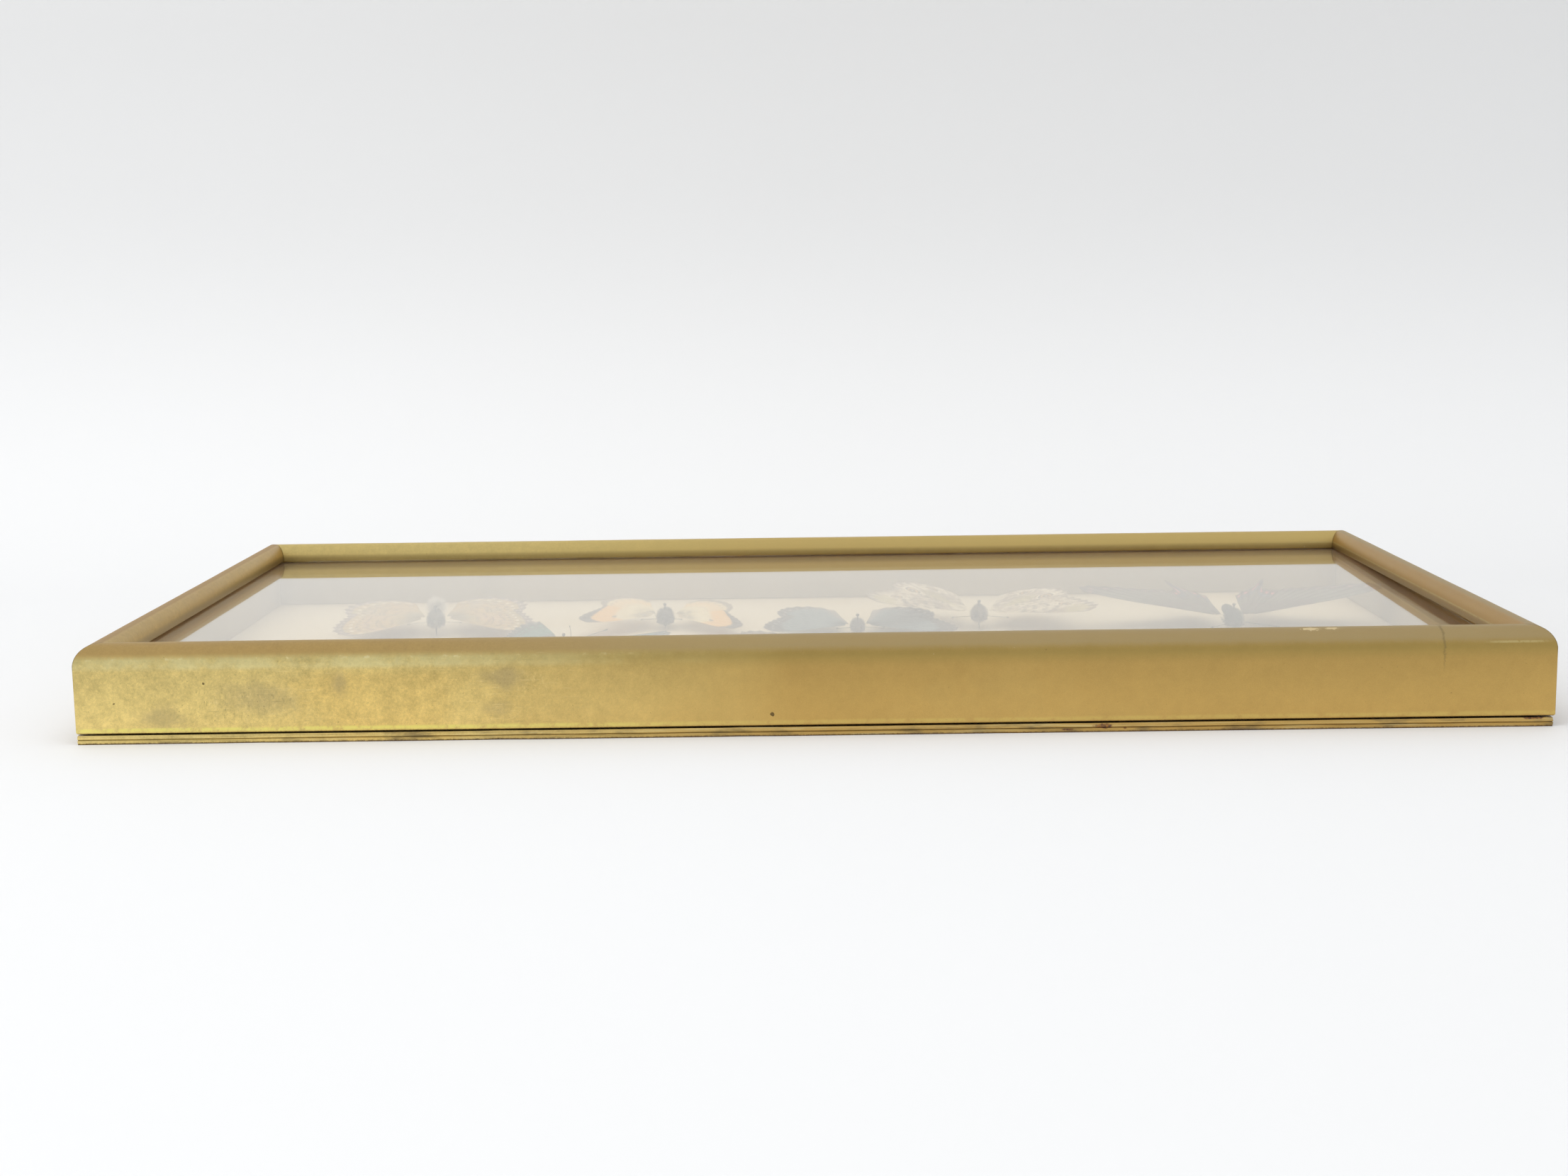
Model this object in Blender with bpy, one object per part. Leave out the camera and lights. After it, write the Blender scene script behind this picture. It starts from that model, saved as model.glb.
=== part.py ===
"""Framed butterfly specimens, lying on the back of the frame.

A mitred, gilded moulding with a rounded top holds a glass pane over a shallow box. Seven
butterflies are pinned to the papered board at the bottom of the box, and a back board closes it.
Metres, +Z up, +X along the frame's long side. The origin is the centre of the footprint.
"""

import math

import bmesh
import bpy
from mathutils import Matrix, Vector

# The frame as a whole
FRAME_WIDTH = 0.560
FRAME_DEPTH = 0.2985
FRAME_HEIGHT = 0.038
GAP = 0.0003

# The moulding's section, measured inwards from the outer face and up from the table
BACK_BOARD_THICKNESS = 0.0035
BACK_BOARD_INSET_RIGHT = 0.0005
RAIL_FOOT = 0.0040
FOOT_RADIUS = 0.0010
SHOULDER_HEIGHT = 0.0273
CREST_INSET = 0.0087
LIP_INSET = 0.0129
LIP_HEIGHT = 0.0298
WEB_THICKNESS = 0.0076

# What lies inside the moulding
GLASS_THICKNESS = 0.0020
GLASS_DROP = {"back_left": 0.0003, "back_right": 0.0, "front_left": 0.0004, "front_right": 0.0040}
MOUNT_BOARD_THICKNESS = 0.0015
SPACER_THICKNESS = 0.0021

# Wings: the root is a share of the reach, and the roots' places are from the middle of the thorax
WING_THICKNESS = 0.0004
WING_ROOT = 0.07
FOREWING_ROOT_Y = 0.0012
HINDWING_ROOT_Y = -0.0022
HINDWING_STEP = 0.0011
HINGE_GAP = 0.0008
HINGE_LIFT = 0.16
COSTA_BOW = 7.0
TAIL_SHARE = 0.36
TAIL_WIDTH = 0.055

# Antennae: lengths are shares of the forewing's length
ANTENNA_RADIUS = 0.00028
CLUB_RADIUS = 0.00056
ANTENNA_REACH = 0.30
ANTENNA_SPREAD = 0.19
ANTENNA_BOW = 0.034
ANTENNA_RISE = 0.0030
ANTENNA_STEPS = 6

# Pins
PIN_RADIUS = 0.00030
PIN_POINT_LENGTH = 0.0012
PIN_HEAD_RADIUS = 0.0008
PIN_HOLE_RADIUS = 0.00062
PIN_RISE = 0.0022

HALF_WIDTH = FRAME_WIDTH / 2
HALF_DEPTH = FRAME_DEPTH / 2
POCKET_INSET = WEB_THICKNESS + GAP
GLASS_TOP = LIP_HEIGHT - GAP
BOARD_TOP = BACK_BOARD_THICKNESS + GAP + MOUNT_BOARD_THICKNESS

# Wing outlines: the reach of the outer edge, as a share of the wing's length, at even steps
# from the trailing edge to the leading edge
BROAD_FOREWING = (0.66, 0.70, 0.76, 0.84, 0.93, 1.00, 0.96)
POINTED_FOREWING = (0.60, 0.64, 0.70, 0.79, 0.91, 1.02, 0.99)
ROUND_HINDWING = (0.72, 0.90, 0.98, 1.00, 0.98, 0.93, 0.84)
LONG_HINDWING = (0.78, 0.96, 1.02, 0.98, 0.93, 0.88, 0.80)

# The body as (place from tail to head as a share of its length, radius as a share of the
# thorax's), and where on it the thorax's middle and the antennae's roots are
BODY_SHAPE = (
    (0.00, 0.0), (0.04, 0.26), (0.14, 0.50), (0.30, 0.64), (0.46, 0.56), (0.53, 0.56),
    (0.60, 0.88), (0.70, 1.0), (0.80, 0.86), (0.865, 0.46), (0.91, 0.58), (0.96, 0.50),
    (1.00, 0.0),
)
THORAX_SHARE = 0.70
ANTENNA_SHARE = 0.92

# Each specimen: where its thorax is; how far it is turned clockwise from facing the back rail and
# tipped head up; the length of a forewing; the body's length and thickness; how far each side's
# wings rise, left side first; the sweep of the fore and hind wings, as leading and trailing edge
# in degrees forward of straight out from the body; the hindwing's length as a share of the
# forewing's; the two outlines; and how far a tail stands out of the hindwing.
SPECIMENS = {
    "tawny": {
        "at": (-0.1745, 0.042, 0.0130), "turn": 172, "tip": -5, "wing": 0.052, "body": 0.031,
        "thick": 0.0076, "rise": (3, 4), "fore": (50, -4), "hind": (4, -78), "share": 0.80,
        "forewing": BROAD_FOREWING, "hindwing": ROUND_HINDWING, "tail": 0.0,
    },
    "teal": {
        "at": (-0.107, -0.031, 0.0128), "turn": 30, "tip": 5, "wing": 0.043, "body": 0.028,
        "thick": 0.0056, "rise": (0, 2), "fore": (42, -5), "hind": (4, -74), "share": 0.80,
        "forewing": BROAD_FOREWING, "hindwing": LONG_HINDWING, "tail": 0.0,
    },
    "orange_tip": {
        "at": (-0.068, 0.052, 0.0112), "turn": 182, "tip": -7, "wing": 0.040, "body": 0.024,
        "thick": 0.0074, "rise": (2, 9), "fore": (44, -8), "hind": (0, -76), "share": 0.74,
        "forewing": POINTED_FOREWING, "hindwing": ROUND_HINDWING, "tail": 0.0,
    },
    "blue": {
        "at": (0.022, 0.026, 0.0102), "turn": 178, "tip": -4, "wing": 0.046, "body": 0.024,
        "thick": 0.0056, "rise": (3, 6), "fore": (38, -14), "hind": (-6, -78), "share": 0.82,
        "forewing": BROAD_FOREWING, "hindwing": ROUND_HINDWING, "tail": 0.0,
    },
    "ringed": {
        "at": (0.079, 0.040, 0.0128), "turn": 184, "tip": -4, "wing": 0.055, "body": 0.031,
        "thick": 0.0070, "rise": (9, 15), "fore": (34, -16), "hind": (-8, -78), "share": 0.80,
        "forewing": BROAD_FOREWING, "hindwing": ROUND_HINDWING, "tail": 0.0,
    },
    "swallowtail": {
        "at": (0.195, 0.028, 0.0112), "turn": 181, "tip": -7, "wing": 0.066, "body": 0.036,
        "thick": 0.0080, "rise": (9, 9), "fore": (-6, -52), "hind": (-42, -86), "share": 0.62,
        "forewing": POINTED_FOREWING, "hindwing": LONG_HINDWING, "tail": 0.34,
    },
    "brown": {
        "at": (0.001, -0.056, 0.0106), "turn": 186, "tip": -4, "wing": 0.043, "body": 0.025,
        "thick": 0.0056, "rise": (8, 13), "fore": (36, -10), "hind": (-2, -76), "share": 0.82,
        "forewing": BROAD_FOREWING, "hindwing": ROUND_HINDWING, "tail": 0.0,
    },
}

# Each finish: colour, roughness, metallic value
COLOURS = {
    "gilt": ((0.49, 0.35, 0.115), 0.42, 0.75),
    "board_gilt": ((0.44, 0.33, 0.12), 0.45, 0.70),
    "glass": ((0.90, 0.95, 0.93), 0.03, 0.0),
    "lining_paper": ((0.78, 0.76, 0.70), 0.85, 0.0),
    "tawny_wing": ((0.46, 0.29, 0.13), 0.70, 0.0),
    "teal_wing": ((0.05, 0.22, 0.21), 0.55, 0.0),
    "orange_tip_wing": ((0.82, 0.66, 0.38), 0.70, 0.0),
    "blue_wing": ((0.05, 0.14, 0.38), 0.45, 0.1),
    "ringed_wing": ((0.42, 0.35, 0.29), 0.70, 0.0),
    "swallowtail_wing": ((0.10, 0.075, 0.07), 0.65, 0.0),
    "brown_wing": ((0.27, 0.20, 0.13), 0.70, 0.0),
    "fur": ((0.09, 0.07, 0.06), 0.90, 0.0),
    "pin_steel": ((0.10, 0.10, 0.11), 0.35, 0.9),
}


def clear_scene():
    for obj in list(bpy.data.objects):
        bpy.data.objects.remove(obj, do_unlink=True)


def material(name):
    """The named finish, made once."""
    found = bpy.data.materials.get(name)
    if found:
        return found
    colour, roughness, metallic = COLOURS[name]
    made = bpy.data.materials.new(name)
    made.use_nodes = True
    shader = made.node_tree.nodes["Principled BSDF"]
    shader.inputs["Base Color"].default_value = (*colour, 1.0)
    shader.inputs["Roughness"].default_value = roughness
    shader.inputs["Metallic"].default_value = metallic
    if name == "glass":
        shader.inputs["Transmission Weight"].default_value = 1.0
    return made


def new_object(name, bm, finish, smooth_angle=None):
    """An object from a bmesh, its normals turned outwards."""
    bmesh.ops.recalc_face_normals(bm, faces=bm.faces)
    mesh = bpy.data.meshes.new(name)
    bm.to_mesh(mesh)
    bm.free()
    if smooth_angle is not None:
        mesh.shade_smooth()
        mesh.set_sharp_from_angle(angle=math.radians(smooth_angle))
    obj = bpy.data.objects.new(name, mesh)
    bpy.context.collection.objects.link(obj)
    mesh.materials.append(material(finish))
    return obj


def helper(obj):
    """Marks a cutter or a joined piece, which isn't a node of its own."""
    obj.hide_render = True
    obj.display_type = "WIRE"
    return obj


def combine(obj, other, operation):
    boolean = obj.modifiers.new(other.name, "BOOLEAN")
    boolean.operation = operation
    boolean.object = helper(other)


def loft(rings):
    """A closed bmesh through rings of points, each end closed by a face or a pole."""
    bm = bmesh.new()
    made = [[bm.verts.new(point) for point in ring] for ring in rings]
    for near, far in zip(made, made[1:]):
        if len(near) == 1 or len(far) == 1:
            pole, ring = (near[0], far) if len(near) == 1 else (far[0], near)
            for i, vert in enumerate(ring):
                bm.faces.new((pole, vert, ring[(i + 1) % len(ring)]))
            continue
        for i, vert in enumerate(near):
            j = (i + 1) % len(near)
            bm.faces.new((vert, near[j], far[j], far[i]))
    for ring in (made[0], made[-1]):
        if len(ring) > 2:
            bm.faces.new(ring)
    return bm


def tube(stations, sides):
    """A round solid through (centre, radius) stations; a radius of 0 is a closed tip."""
    rings = []
    for i, (centre, radius) in enumerate(stations):
        if radius == 0:
            rings.append([centre])
            continue
        ahead = stations[min(i + 1, len(stations) - 1)][0]
        behind = stations[max(i - 1, 0)][0]
        turn = (ahead - behind).to_track_quat("Z", "Y").to_matrix()
        ring = []
        for step in range(sides):
            angle = math.tau * step / sides
            ring.append(centre + turn @ Vector((math.cos(angle), math.sin(angle), 0)) * radius)
        rings.append(ring)
    return loft(rings)


def arc(centre, radii, start, end, steps):
    """Points on an ellipse's arc, with both ends, from start to end in degrees."""
    points = []
    for step in range(steps + 1):
        angle = math.radians(start + (end - start) * step / steps)
        points.append((centre[0] + radii[0] * math.cos(angle), centre[1] + radii[1] * math.sin(angle)))
    return points


def rail_profile():
    """The moulding's section as (inset from the outer face, height), anticlockwise from the foot."""
    foot = arc((FOOT_RADIUS, RAIL_FOOT + FOOT_RADIUS), (FOOT_RADIUS, FOOT_RADIUS), 270, 180, 3)
    crown = FRAME_HEIGHT - SHOULDER_HEIGHT
    shoulder = arc((CREST_INSET, SHOULDER_HEIGHT), (CREST_INSET, crown), 180, 90, 9)
    fall = (LIP_INSET - CREST_INSET, FRAME_HEIGHT - LIP_HEIGHT - GAP)
    inner = arc((CREST_INSET, LIP_HEIGHT + GAP), fall, 90, 0, 6)[1:]
    rabbet = [(LIP_INSET, LIP_HEIGHT), (WEB_THICKNESS, LIP_HEIGHT), (WEB_THICKNESS, RAIL_FOOT)]
    return foot + shoulder + inner + rabbet


def make_rail(name, length, turn, offset):
    """One mitred side of the moulding, its outer face at -Y before it is turned into place."""
    ends = []
    for side in (-1, 1):
        ring = []
        for inset, height in rail_profile():
            reach = side * (length / 2 - inset - GAP / 2)
            ring.append(Vector((reach, inset - offset, height)))
        ends.append(ring)
    rail = new_object(name, loft(ends), "gilt", smooth_angle=30)
    rail.rotation_euler.z = math.radians(turn)


def glass_drop(x, y):
    """How far the pane has sunk below the lip at a place, from its four corners."""
    across = (x + HALF_WIDTH) / FRAME_WIDTH
    along = (y + HALF_DEPTH) / FRAME_DEPTH
    front = GLASS_DROP["front_left"] * (1 - across) + GLASS_DROP["front_right"] * across
    back = GLASS_DROP["back_left"] * (1 - across) + GLASS_DROP["back_right"] * across
    return front * (1 - along) + back * along


def slab(rows, columns, point):
    """A closed bmesh of two grids of cells, joined round their rims.

    point(layer, row, column) places each corner, with layer 0 below and layer 1 above.
    """
    bm = bmesh.new()
    layers = []
    for layer in (0, 1):
        lines = []
        for row in range(rows + 1):
            lines.append([bm.verts.new(point(layer, row, column)) for column in range(columns + 1)])
        for near, far in zip(lines, lines[1:]):
            for column in range(columns):
                bm.faces.new((near[column], near[column + 1], far[column + 1], far[column]))
        layers.append(lines)
    lower, upper = layers
    rim = [(row, 0) for row in range(rows)]
    rim += [(rows, column) for column in range(columns)]
    rim += [(row, columns) for row in range(rows, 0, -1)]
    rim += [(0, column) for column in range(columns, 0, -1)]
    for (row, column), (next_row, next_column) in zip(rim, rim[1:] + rim[:1]):
        bm.faces.new((lower[row][column], lower[next_row][next_column],
                      upper[next_row][next_column], upper[row][column]))
    return bm


def rectangle_slab(corner, size, cells, bottom, top):
    """A rectangular slab whose bottom and top heights are functions of the place."""
    columns, rows = cells

    def point(layer, row, column):
        x = corner[0] + size[0] * column / columns
        y = corner[1] + size[1] * row / rows
        return (x, y, (bottom, top)[layer](x, y))

    return slab(rows, columns, point)


def glass_top(x, y):
    return GLASS_TOP - glass_drop(x, y)


def glass_underside(x, y):
    return glass_top(x, y) - GLASS_THICKNESS


def make_glass():
    corner = (POCKET_INSET - HALF_WIDTH, POCKET_INSET - HALF_DEPTH)
    size = (FRAME_WIDTH - 2 * POCKET_INSET, FRAME_DEPTH - 2 * POCKET_INSET)
    pane = rectangle_slab(corner, size, (8, 4), glass_underside, glass_top)
    new_object("glass_pane", pane, "glass", smooth_angle=30)


def spacer_foot(_x, _y):
    return BOARD_TOP + GAP


def spacer_top(x, y):
    return glass_underside(x, y) - GAP


def make_spacers():
    """Four papered fillets that stand on the mount board and carry the glass."""
    far_x, far_y = HALF_WIDTH - POCKET_INSET, HALF_DEPTH - POCKET_INSET
    long_size = (2 * far_x, SPACER_THICKNESS)
    for name, y in (("spacer_front", -far_y), ("spacer_back", far_y - SPACER_THICKNESS)):
        fillet = rectangle_slab((-far_x, y), long_size, (8, 1), spacer_foot, spacer_top)
        new_object(name, fillet, "lining_paper")
    start_y = SPACER_THICKNESS + GAP - far_y
    short_size = (SPACER_THICKNESS, -2 * start_y)
    for name, x in (("spacer_left", -far_x), ("spacer_right", far_x - SPACER_THICKNESS)):
        fillet = rectangle_slab((x, start_y), short_size, (1, 4), spacer_foot, spacer_top)
        new_object(name, fillet, "lining_paper")


def make_box(name, low, high, finish, bevel=0.0):
    bm = bmesh.new()
    bmesh.ops.create_cube(bm, size=1.0)
    size = Vector(high) - Vector(low)
    middle = (Vector(high) + Vector(low)) / 2
    bmesh.ops.transform(bm, matrix=Matrix.LocRotScale(middle, None, size), verts=bm.verts)
    if bevel:
        upper = [edge for edge in bm.edges if all(v.co.z > middle.z for v in edge.verts)]
        bmesh.ops.bevel(bm, geom=upper, offset=bevel, segments=2, profile=0.5, affect="EDGES")
    new_object(name, bm, finish)


def make_boards():
    make_box(
        "back_board",
        (-HALF_WIDTH, -HALF_DEPTH, 0),
        (HALF_WIDTH - BACK_BOARD_INSET_RIGHT, HALF_DEPTH, BACK_BOARD_THICKNESS),
        "board_gilt", bevel=0.0006,
    )
    far_x, far_y = HALF_WIDTH - POCKET_INSET, HALF_DEPTH - POCKET_INSET
    make_box(
        "mount_board",
        (-far_x, -far_y, BACK_BOARD_THICKNESS + GAP), (far_x, far_y, BOARD_TOP), "lining_paper",
    )


def reach_at(outline, share):
    """The outline's reach at a share of the way round, smooth between its steps."""
    place = share * (len(outline) - 1)
    low = min(int(place), len(outline) - 2)
    t = place - low
    before = outline[max(low - 1, 0)]
    start, end = outline[low], outline[low + 1]
    after = outline[min(low + 2, len(outline) - 1)]
    curve = (end - before) * t + (2 * before - 5 * start + 4 * end - after) * t**2
    curve += (3 * (start - end) + after - before) * t**3
    return start + curve / 2


def wing_point(length, outline, lead, trail, tail, reach, share):
    """A point of a flat right wing: reach from root to edge, share from trailing to leading."""
    angle = math.radians(trail + (lead + COSTA_BOW * (1 - reach) - trail) * share)
    edge = reach_at(outline, share)
    edge += tail * math.exp(-(((share - TAIL_SHARE) / TAIL_WIDTH) ** 2))
    radius = length * edge * reach
    return Vector((radius * math.cos(angle), radius * math.sin(angle), 0))


def specimen_place(spec):
    """The thorax's place in the box, with the head along +Y before it is turned."""
    return (
        Matrix.Translation(spec["at"])
        @ Matrix.Rotation(math.radians(-spec["turn"]), 4, "Z")
        @ Matrix.Rotation(math.radians(spec["tip"]), 4, "X")
    )


def make_wing(name, spec, side, fore):
    """A thin closed wing; side is -1 for the left wing and +1 for the right."""
    if fore:
        length, outline, tail = spec["wing"], spec["forewing"], 0.0
        root = Vector((0, FOREWING_ROOT_Y, 0))
    else:
        length, outline, tail = spec["wing"] * spec["share"], spec["hindwing"], spec["tail"]
        root = Vector((0, HINDWING_ROOT_Y, -HINDWING_STEP))
    lead, trail = spec["fore" if fore else "hind"]
    rise = math.radians(spec["rise"][0 if side < 0 else 1])
    hinge = Vector((spec["thick"] / 2 + HINGE_GAP, 0, spec["thick"] * HINGE_LIFT))
    place = (
        specimen_place(spec)
        @ Matrix.Scale(side, 4, (1, 0, 0))
        @ Matrix.Translation(hinge + root)
        @ Matrix.Rotation(-rise, 4, "Y")
    )
    rows, columns = 3, 16 if tail else 8

    def point(layer, row, column):
        reach = WING_ROOT + (1 - WING_ROOT) * row / rows
        flat = wing_point(length, outline, lead, trail, tail, reach, column / columns)
        return place @ (flat + Vector((0, 0, (layer - 0.5) * WING_THICKNESS)))

    new_object(name, slab(rows, columns, point), spec["finish"], smooth_angle=30)


def make_antenna(name, spec, side):
    """A clubbed feeler from the head, forwards and outwards."""
    place = specimen_place(spec)
    start = (ANTENNA_SHARE - THORAX_SHARE) * spec["body"]
    stations = []
    for step in range(ANTENNA_STEPS + 1):
        t = step / ANTENNA_STEPS
        out = side * (0.0007 + spec["wing"] * (ANTENNA_SPREAD * t + ANTENNA_BOW * t * t))
        ahead = start + spec["wing"] * ANTENNA_REACH * t
        centre = place @ Vector((out, ahead, spec["thick"] * 0.10 + ANTENNA_RISE * t))
        stations.append([centre, ANTENNA_RADIUS])
    stations[-2][1] = CLUB_RADIUS
    stations[-1][1] = 0.0
    return new_object(name, tube(stations, 6), "fur")


def make_body(name, spec):
    """The body with its two antennae, drilled for the pin."""
    place = specimen_place(spec)
    length, thick = spec["body"], spec["thick"]
    stations = []
    for share, radius in BODY_SHAPE:
        centre = place @ Vector((0, (share - THORAX_SHARE) * length, 0))
        stations.append((centre, radius * thick / 2))
    body = new_object(name, tube(stations, 10), "fur", smooth_angle=60)
    for side, word in ((-1, "left"), (1, "right")):
        combine(body, make_antenna(f"{name}_antenna_{word}", spec, side), "UNION")
    reach = Vector((0, 0, thick))
    middle = Vector(spec["at"])
    hole = tube([(middle - reach, PIN_HOLE_RADIUS), (middle + reach, PIN_HOLE_RADIUS)], 8)
    combine(body, new_object(f"{name}_pin_hole", hole, "fur"), "DIFFERENCE")


def make_pin(name, spec):
    """A steel pin from the mount board up through the thorax, with a small round head."""
    x, y, z = spec["at"]
    foot = BOARD_TOP + GAP
    head = z + spec["thick"] / 2 + PIN_RISE
    profile = [(foot, PIN_RADIUS / 2), (foot + PIN_POINT_LENGTH, PIN_RADIUS)]
    profile.append((head - PIN_HEAD_RADIUS, PIN_RADIUS))
    for across, up in arc((0, head), (PIN_HEAD_RADIUS, PIN_HEAD_RADIUS), -50, 45, 3):
        profile.append((up, across))
    profile.append((head + PIN_HEAD_RADIUS, 0.0))
    stations = [(Vector((x, y, height)), radius) for height, radius in profile]
    new_object(name, tube(stations, 8), "pin_steel", smooth_angle=50)


def make_specimens():
    for name, spec in SPECIMENS.items():
        spec["finish"] = f"{name}_wing"
        make_body(f"{name}_body", spec)
        for side, word in ((-1, "left"), (1, "right")):
            make_wing(f"{name}_forewing_{word}", spec, side, fore=True)
            make_wing(f"{name}_hindwing_{word}", spec, side, fore=False)
        make_pin(f"{name}_pin", spec)


def main():
    clear_scene()
    make_rail("rail_front", FRAME_WIDTH, 0, HALF_DEPTH)
    make_rail("rail_back", FRAME_WIDTH, 180, HALF_DEPTH)
    make_rail("rail_right", FRAME_DEPTH, 90, HALF_WIDTH)
    make_rail("rail_left", FRAME_DEPTH, -90, HALF_WIDTH)
    make_glass()
    make_spacers()
    make_boards()
    make_specimens()


main()
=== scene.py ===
"""Framed butterflies: the gilded moulding, the pane, the papered box and the pinned specimens.

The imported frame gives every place. New pieces are modelled at rest in its coordinates: metres, +Z up
out of the glass, +X along the long side, and +Y from the front rail to the back rail.
"""

import math

import bmesh
import bpy
import numpy as np
from bpy.props import FloatProperty, FloatVectorProperty, IntProperty, PointerProperty
from mathutils import Matrix, Vector


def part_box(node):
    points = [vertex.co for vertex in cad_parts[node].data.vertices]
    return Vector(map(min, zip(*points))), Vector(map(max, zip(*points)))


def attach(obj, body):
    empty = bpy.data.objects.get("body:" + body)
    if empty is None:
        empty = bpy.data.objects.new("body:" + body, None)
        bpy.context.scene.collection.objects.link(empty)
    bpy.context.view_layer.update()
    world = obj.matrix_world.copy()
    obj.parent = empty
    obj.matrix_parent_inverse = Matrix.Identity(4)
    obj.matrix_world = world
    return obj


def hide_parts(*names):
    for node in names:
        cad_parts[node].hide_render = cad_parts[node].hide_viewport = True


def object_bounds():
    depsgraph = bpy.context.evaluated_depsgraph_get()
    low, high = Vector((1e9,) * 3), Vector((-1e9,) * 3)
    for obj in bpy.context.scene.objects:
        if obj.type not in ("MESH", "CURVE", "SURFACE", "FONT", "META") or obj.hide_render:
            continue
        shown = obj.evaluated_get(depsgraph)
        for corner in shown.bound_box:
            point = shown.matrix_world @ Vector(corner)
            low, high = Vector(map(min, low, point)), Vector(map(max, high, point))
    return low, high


bl_info = {
    "name": "Framed Butterflies",
    "version": (1, 0, 0),
    "blender": (4, 5, 0),
    "location": "View3D > Sidebar > Butterflies",
    "description": "Builds a gilded shadow box with pinned butterflies around its packed frame",
    "category": "Object",
}

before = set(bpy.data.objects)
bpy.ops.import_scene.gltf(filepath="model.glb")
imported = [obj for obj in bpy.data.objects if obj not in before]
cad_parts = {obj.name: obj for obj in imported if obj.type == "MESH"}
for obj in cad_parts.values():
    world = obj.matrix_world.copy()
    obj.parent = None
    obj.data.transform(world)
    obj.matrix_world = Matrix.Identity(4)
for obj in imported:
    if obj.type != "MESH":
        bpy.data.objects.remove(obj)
FRAME_LOW, FRAME_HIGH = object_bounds()
BODY = "root"

HALF_WIDTH = FRAME_HIGH.x
HALF_DEPTH = FRAME_HIGH.y
FRAME_TOP = FRAME_HIGH.z
RAIL_LOW, RAIL_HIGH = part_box("rail_front")
PANE_LOW, PANE_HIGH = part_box("glass_pane")
BOARD_LOW, BOARD_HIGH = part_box("back_board")
LINING_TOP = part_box("mount_board")[1].z
RAIL_FOOT = RAIL_LOW.z
LIP_INSET = RAIL_HIGH.y - RAIL_LOW.y
WEB_INSET = HALF_WIDTH - PANE_HIGH.x

SIDES = ((-1, "left"), (1, "right"))

MOULDING_STEP = 0.007
MITRE_GAP = 0.00002
BOARD_CUTS = (0.0015, 0.0018, 0.0021)
BOARD_COLUMNS = 80
BOARD_ROWS = 42
SWEEP_SIZE = (7.0, 5.0)
SWEEP_HEIGHT = 3.2
SWEEP_RADIUS = 0.34


# ---------------------------------------------------------------------------------------------
# What a user can change


def length(name, description, default):
    return FloatProperty(name=name, description=description, default=default, unit="LENGTH", precision=5)


def share(name, description, default):
    return FloatProperty(name=name, description=description, default=default, min=0, max=1, subtype="FACTOR")


def colour(name, description, default):
    return FloatVectorProperty(name=name, description=description, default=default, subtype="COLOR", size=3,
                               min=0, max=1)


class MouldingSettings(bpy.types.PropertyGroup):
    """Sizes and finish of the gilded moulding and the back board."""

    shoulder_height: length("Shoulder height", "Where the flat outer face turns into the crown", 0.0273)
    crest_inset: length("Crest inset", "How far in from the outer face the crown is highest", 0.0087)
    lip_height: length("Lip height", "Height of the lip's underside, over the glass", 0.0298)
    foot_radius: length("Foot radius", "Rounding of the outer face's lower edge", 0.0010)
    waviness: length("Waviness", "How far the gilded faces wander from true", 0.00010)
    gilt_left: colour("Gilt, left", "Bronze powder where it has gone greenish", (0.72, 0.56, 0.21))
    gilt_right: colour("Gilt, right", "Bronze powder where it has stayed warm", (0.53, 0.345, 0.105))
    # this brown stands for tarnished gilding and also for painted shade on the crown
    tarnish_and_shade: colour("Tarnish", "Brown of the worn and dirty crown", (0.34, 0.20, 0.065))
    wear: share("Wear", "How strongly patina, scratches and chips show", 1.0)
    groove_depth: length("Groove depth", "Depth of the groove round the back board's edge", 0.0003)


class GlassSettings(bpy.types.PropertyGroup):
    """The pane and the papered box under it."""

    thickness: length("Pane thickness", "Thickness of the picture glass", 0.0020)
    arris: length("Arris", "Width of the pane's ground edge", 0.0002)
    tint: colour("Pane tint", "Colour of the glass itself", (0.97, 0.915, 0.80))
    mount_paper: colour("Mount paper", "Cream paper that the specimens are pinned to", (0.80, 0.73, 0.61))
    # painted shade: the fillets are lined with the same cream paper as the mount, and this dark tone stands
    # for their shade
    wall_paper_shaded: colour("Wall paper", "Grey paper on the fillets round the box", (0.34, 0.29, 0.205))


class SpecimenSettings(bpy.types.PropertyGroup):
    """What all the butterflies share."""

    wing_thickness: length("Wing thickness", "Thickness of a wing's membrane", 0.00012)
    vein_height: length("Vein height", "How far the veins stand out of a wing", 0.00011)
    ripple: length("Ripple", "How far a dried wing waves up and down", 0.00022)
    fringe: length("Fringe", "Length of the scales along a wing's edge", 0.0007)
    hair: length("Hair", "Length of the longest hair on the thorax", 0.0021)
    hairs: IntProperty(name="Hairs", description="Hairs on one body", default=2600, min=100, max=9000)


class StageSettings(bpy.types.PropertyGroup):
    """The floor, the backdrop, the lamps and the camera."""

    floor: colour("Floor", "Colour of the floor and backdrop", (0.84, 0.84, 0.84))
    wall_distance: length("Backdrop distance", "How far behind the origin the backdrop rises", 0.56)
    room_light: FloatProperty(name="Room light", description="Strength of the even light", default=0.78)
    lamp_power: FloatProperty(name="Lamp power", description="Power of the soft overhead lamp", default=16.4,
                              subtype="POWER")
    camera_place: FloatVectorProperty(name="Camera place", description="Where the camera stands",
                                      default=(-0.00739, -0.9370, 0.17847), subtype="XYZ", unit="LENGTH")
    camera_turn: FloatVectorProperty(name="Camera turn", description="Yaw, pitch down and roll",
                                     default=(math.radians(-0.253), math.radians(8.776),
                                              math.radians(-0.795)), subtype="EULER")
    lens: FloatProperty(name="Lens", description="Focal length in millimetres", default=48.82)


# ---------------------------------------------------------------------------------------------
# Modelling helpers


def deselect():
    if bpy.context.mode != "OBJECT":
        bpy.ops.object.mode_set(mode="OBJECT")
    bpy.ops.object.select_all(action="DESELECT")


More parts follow.
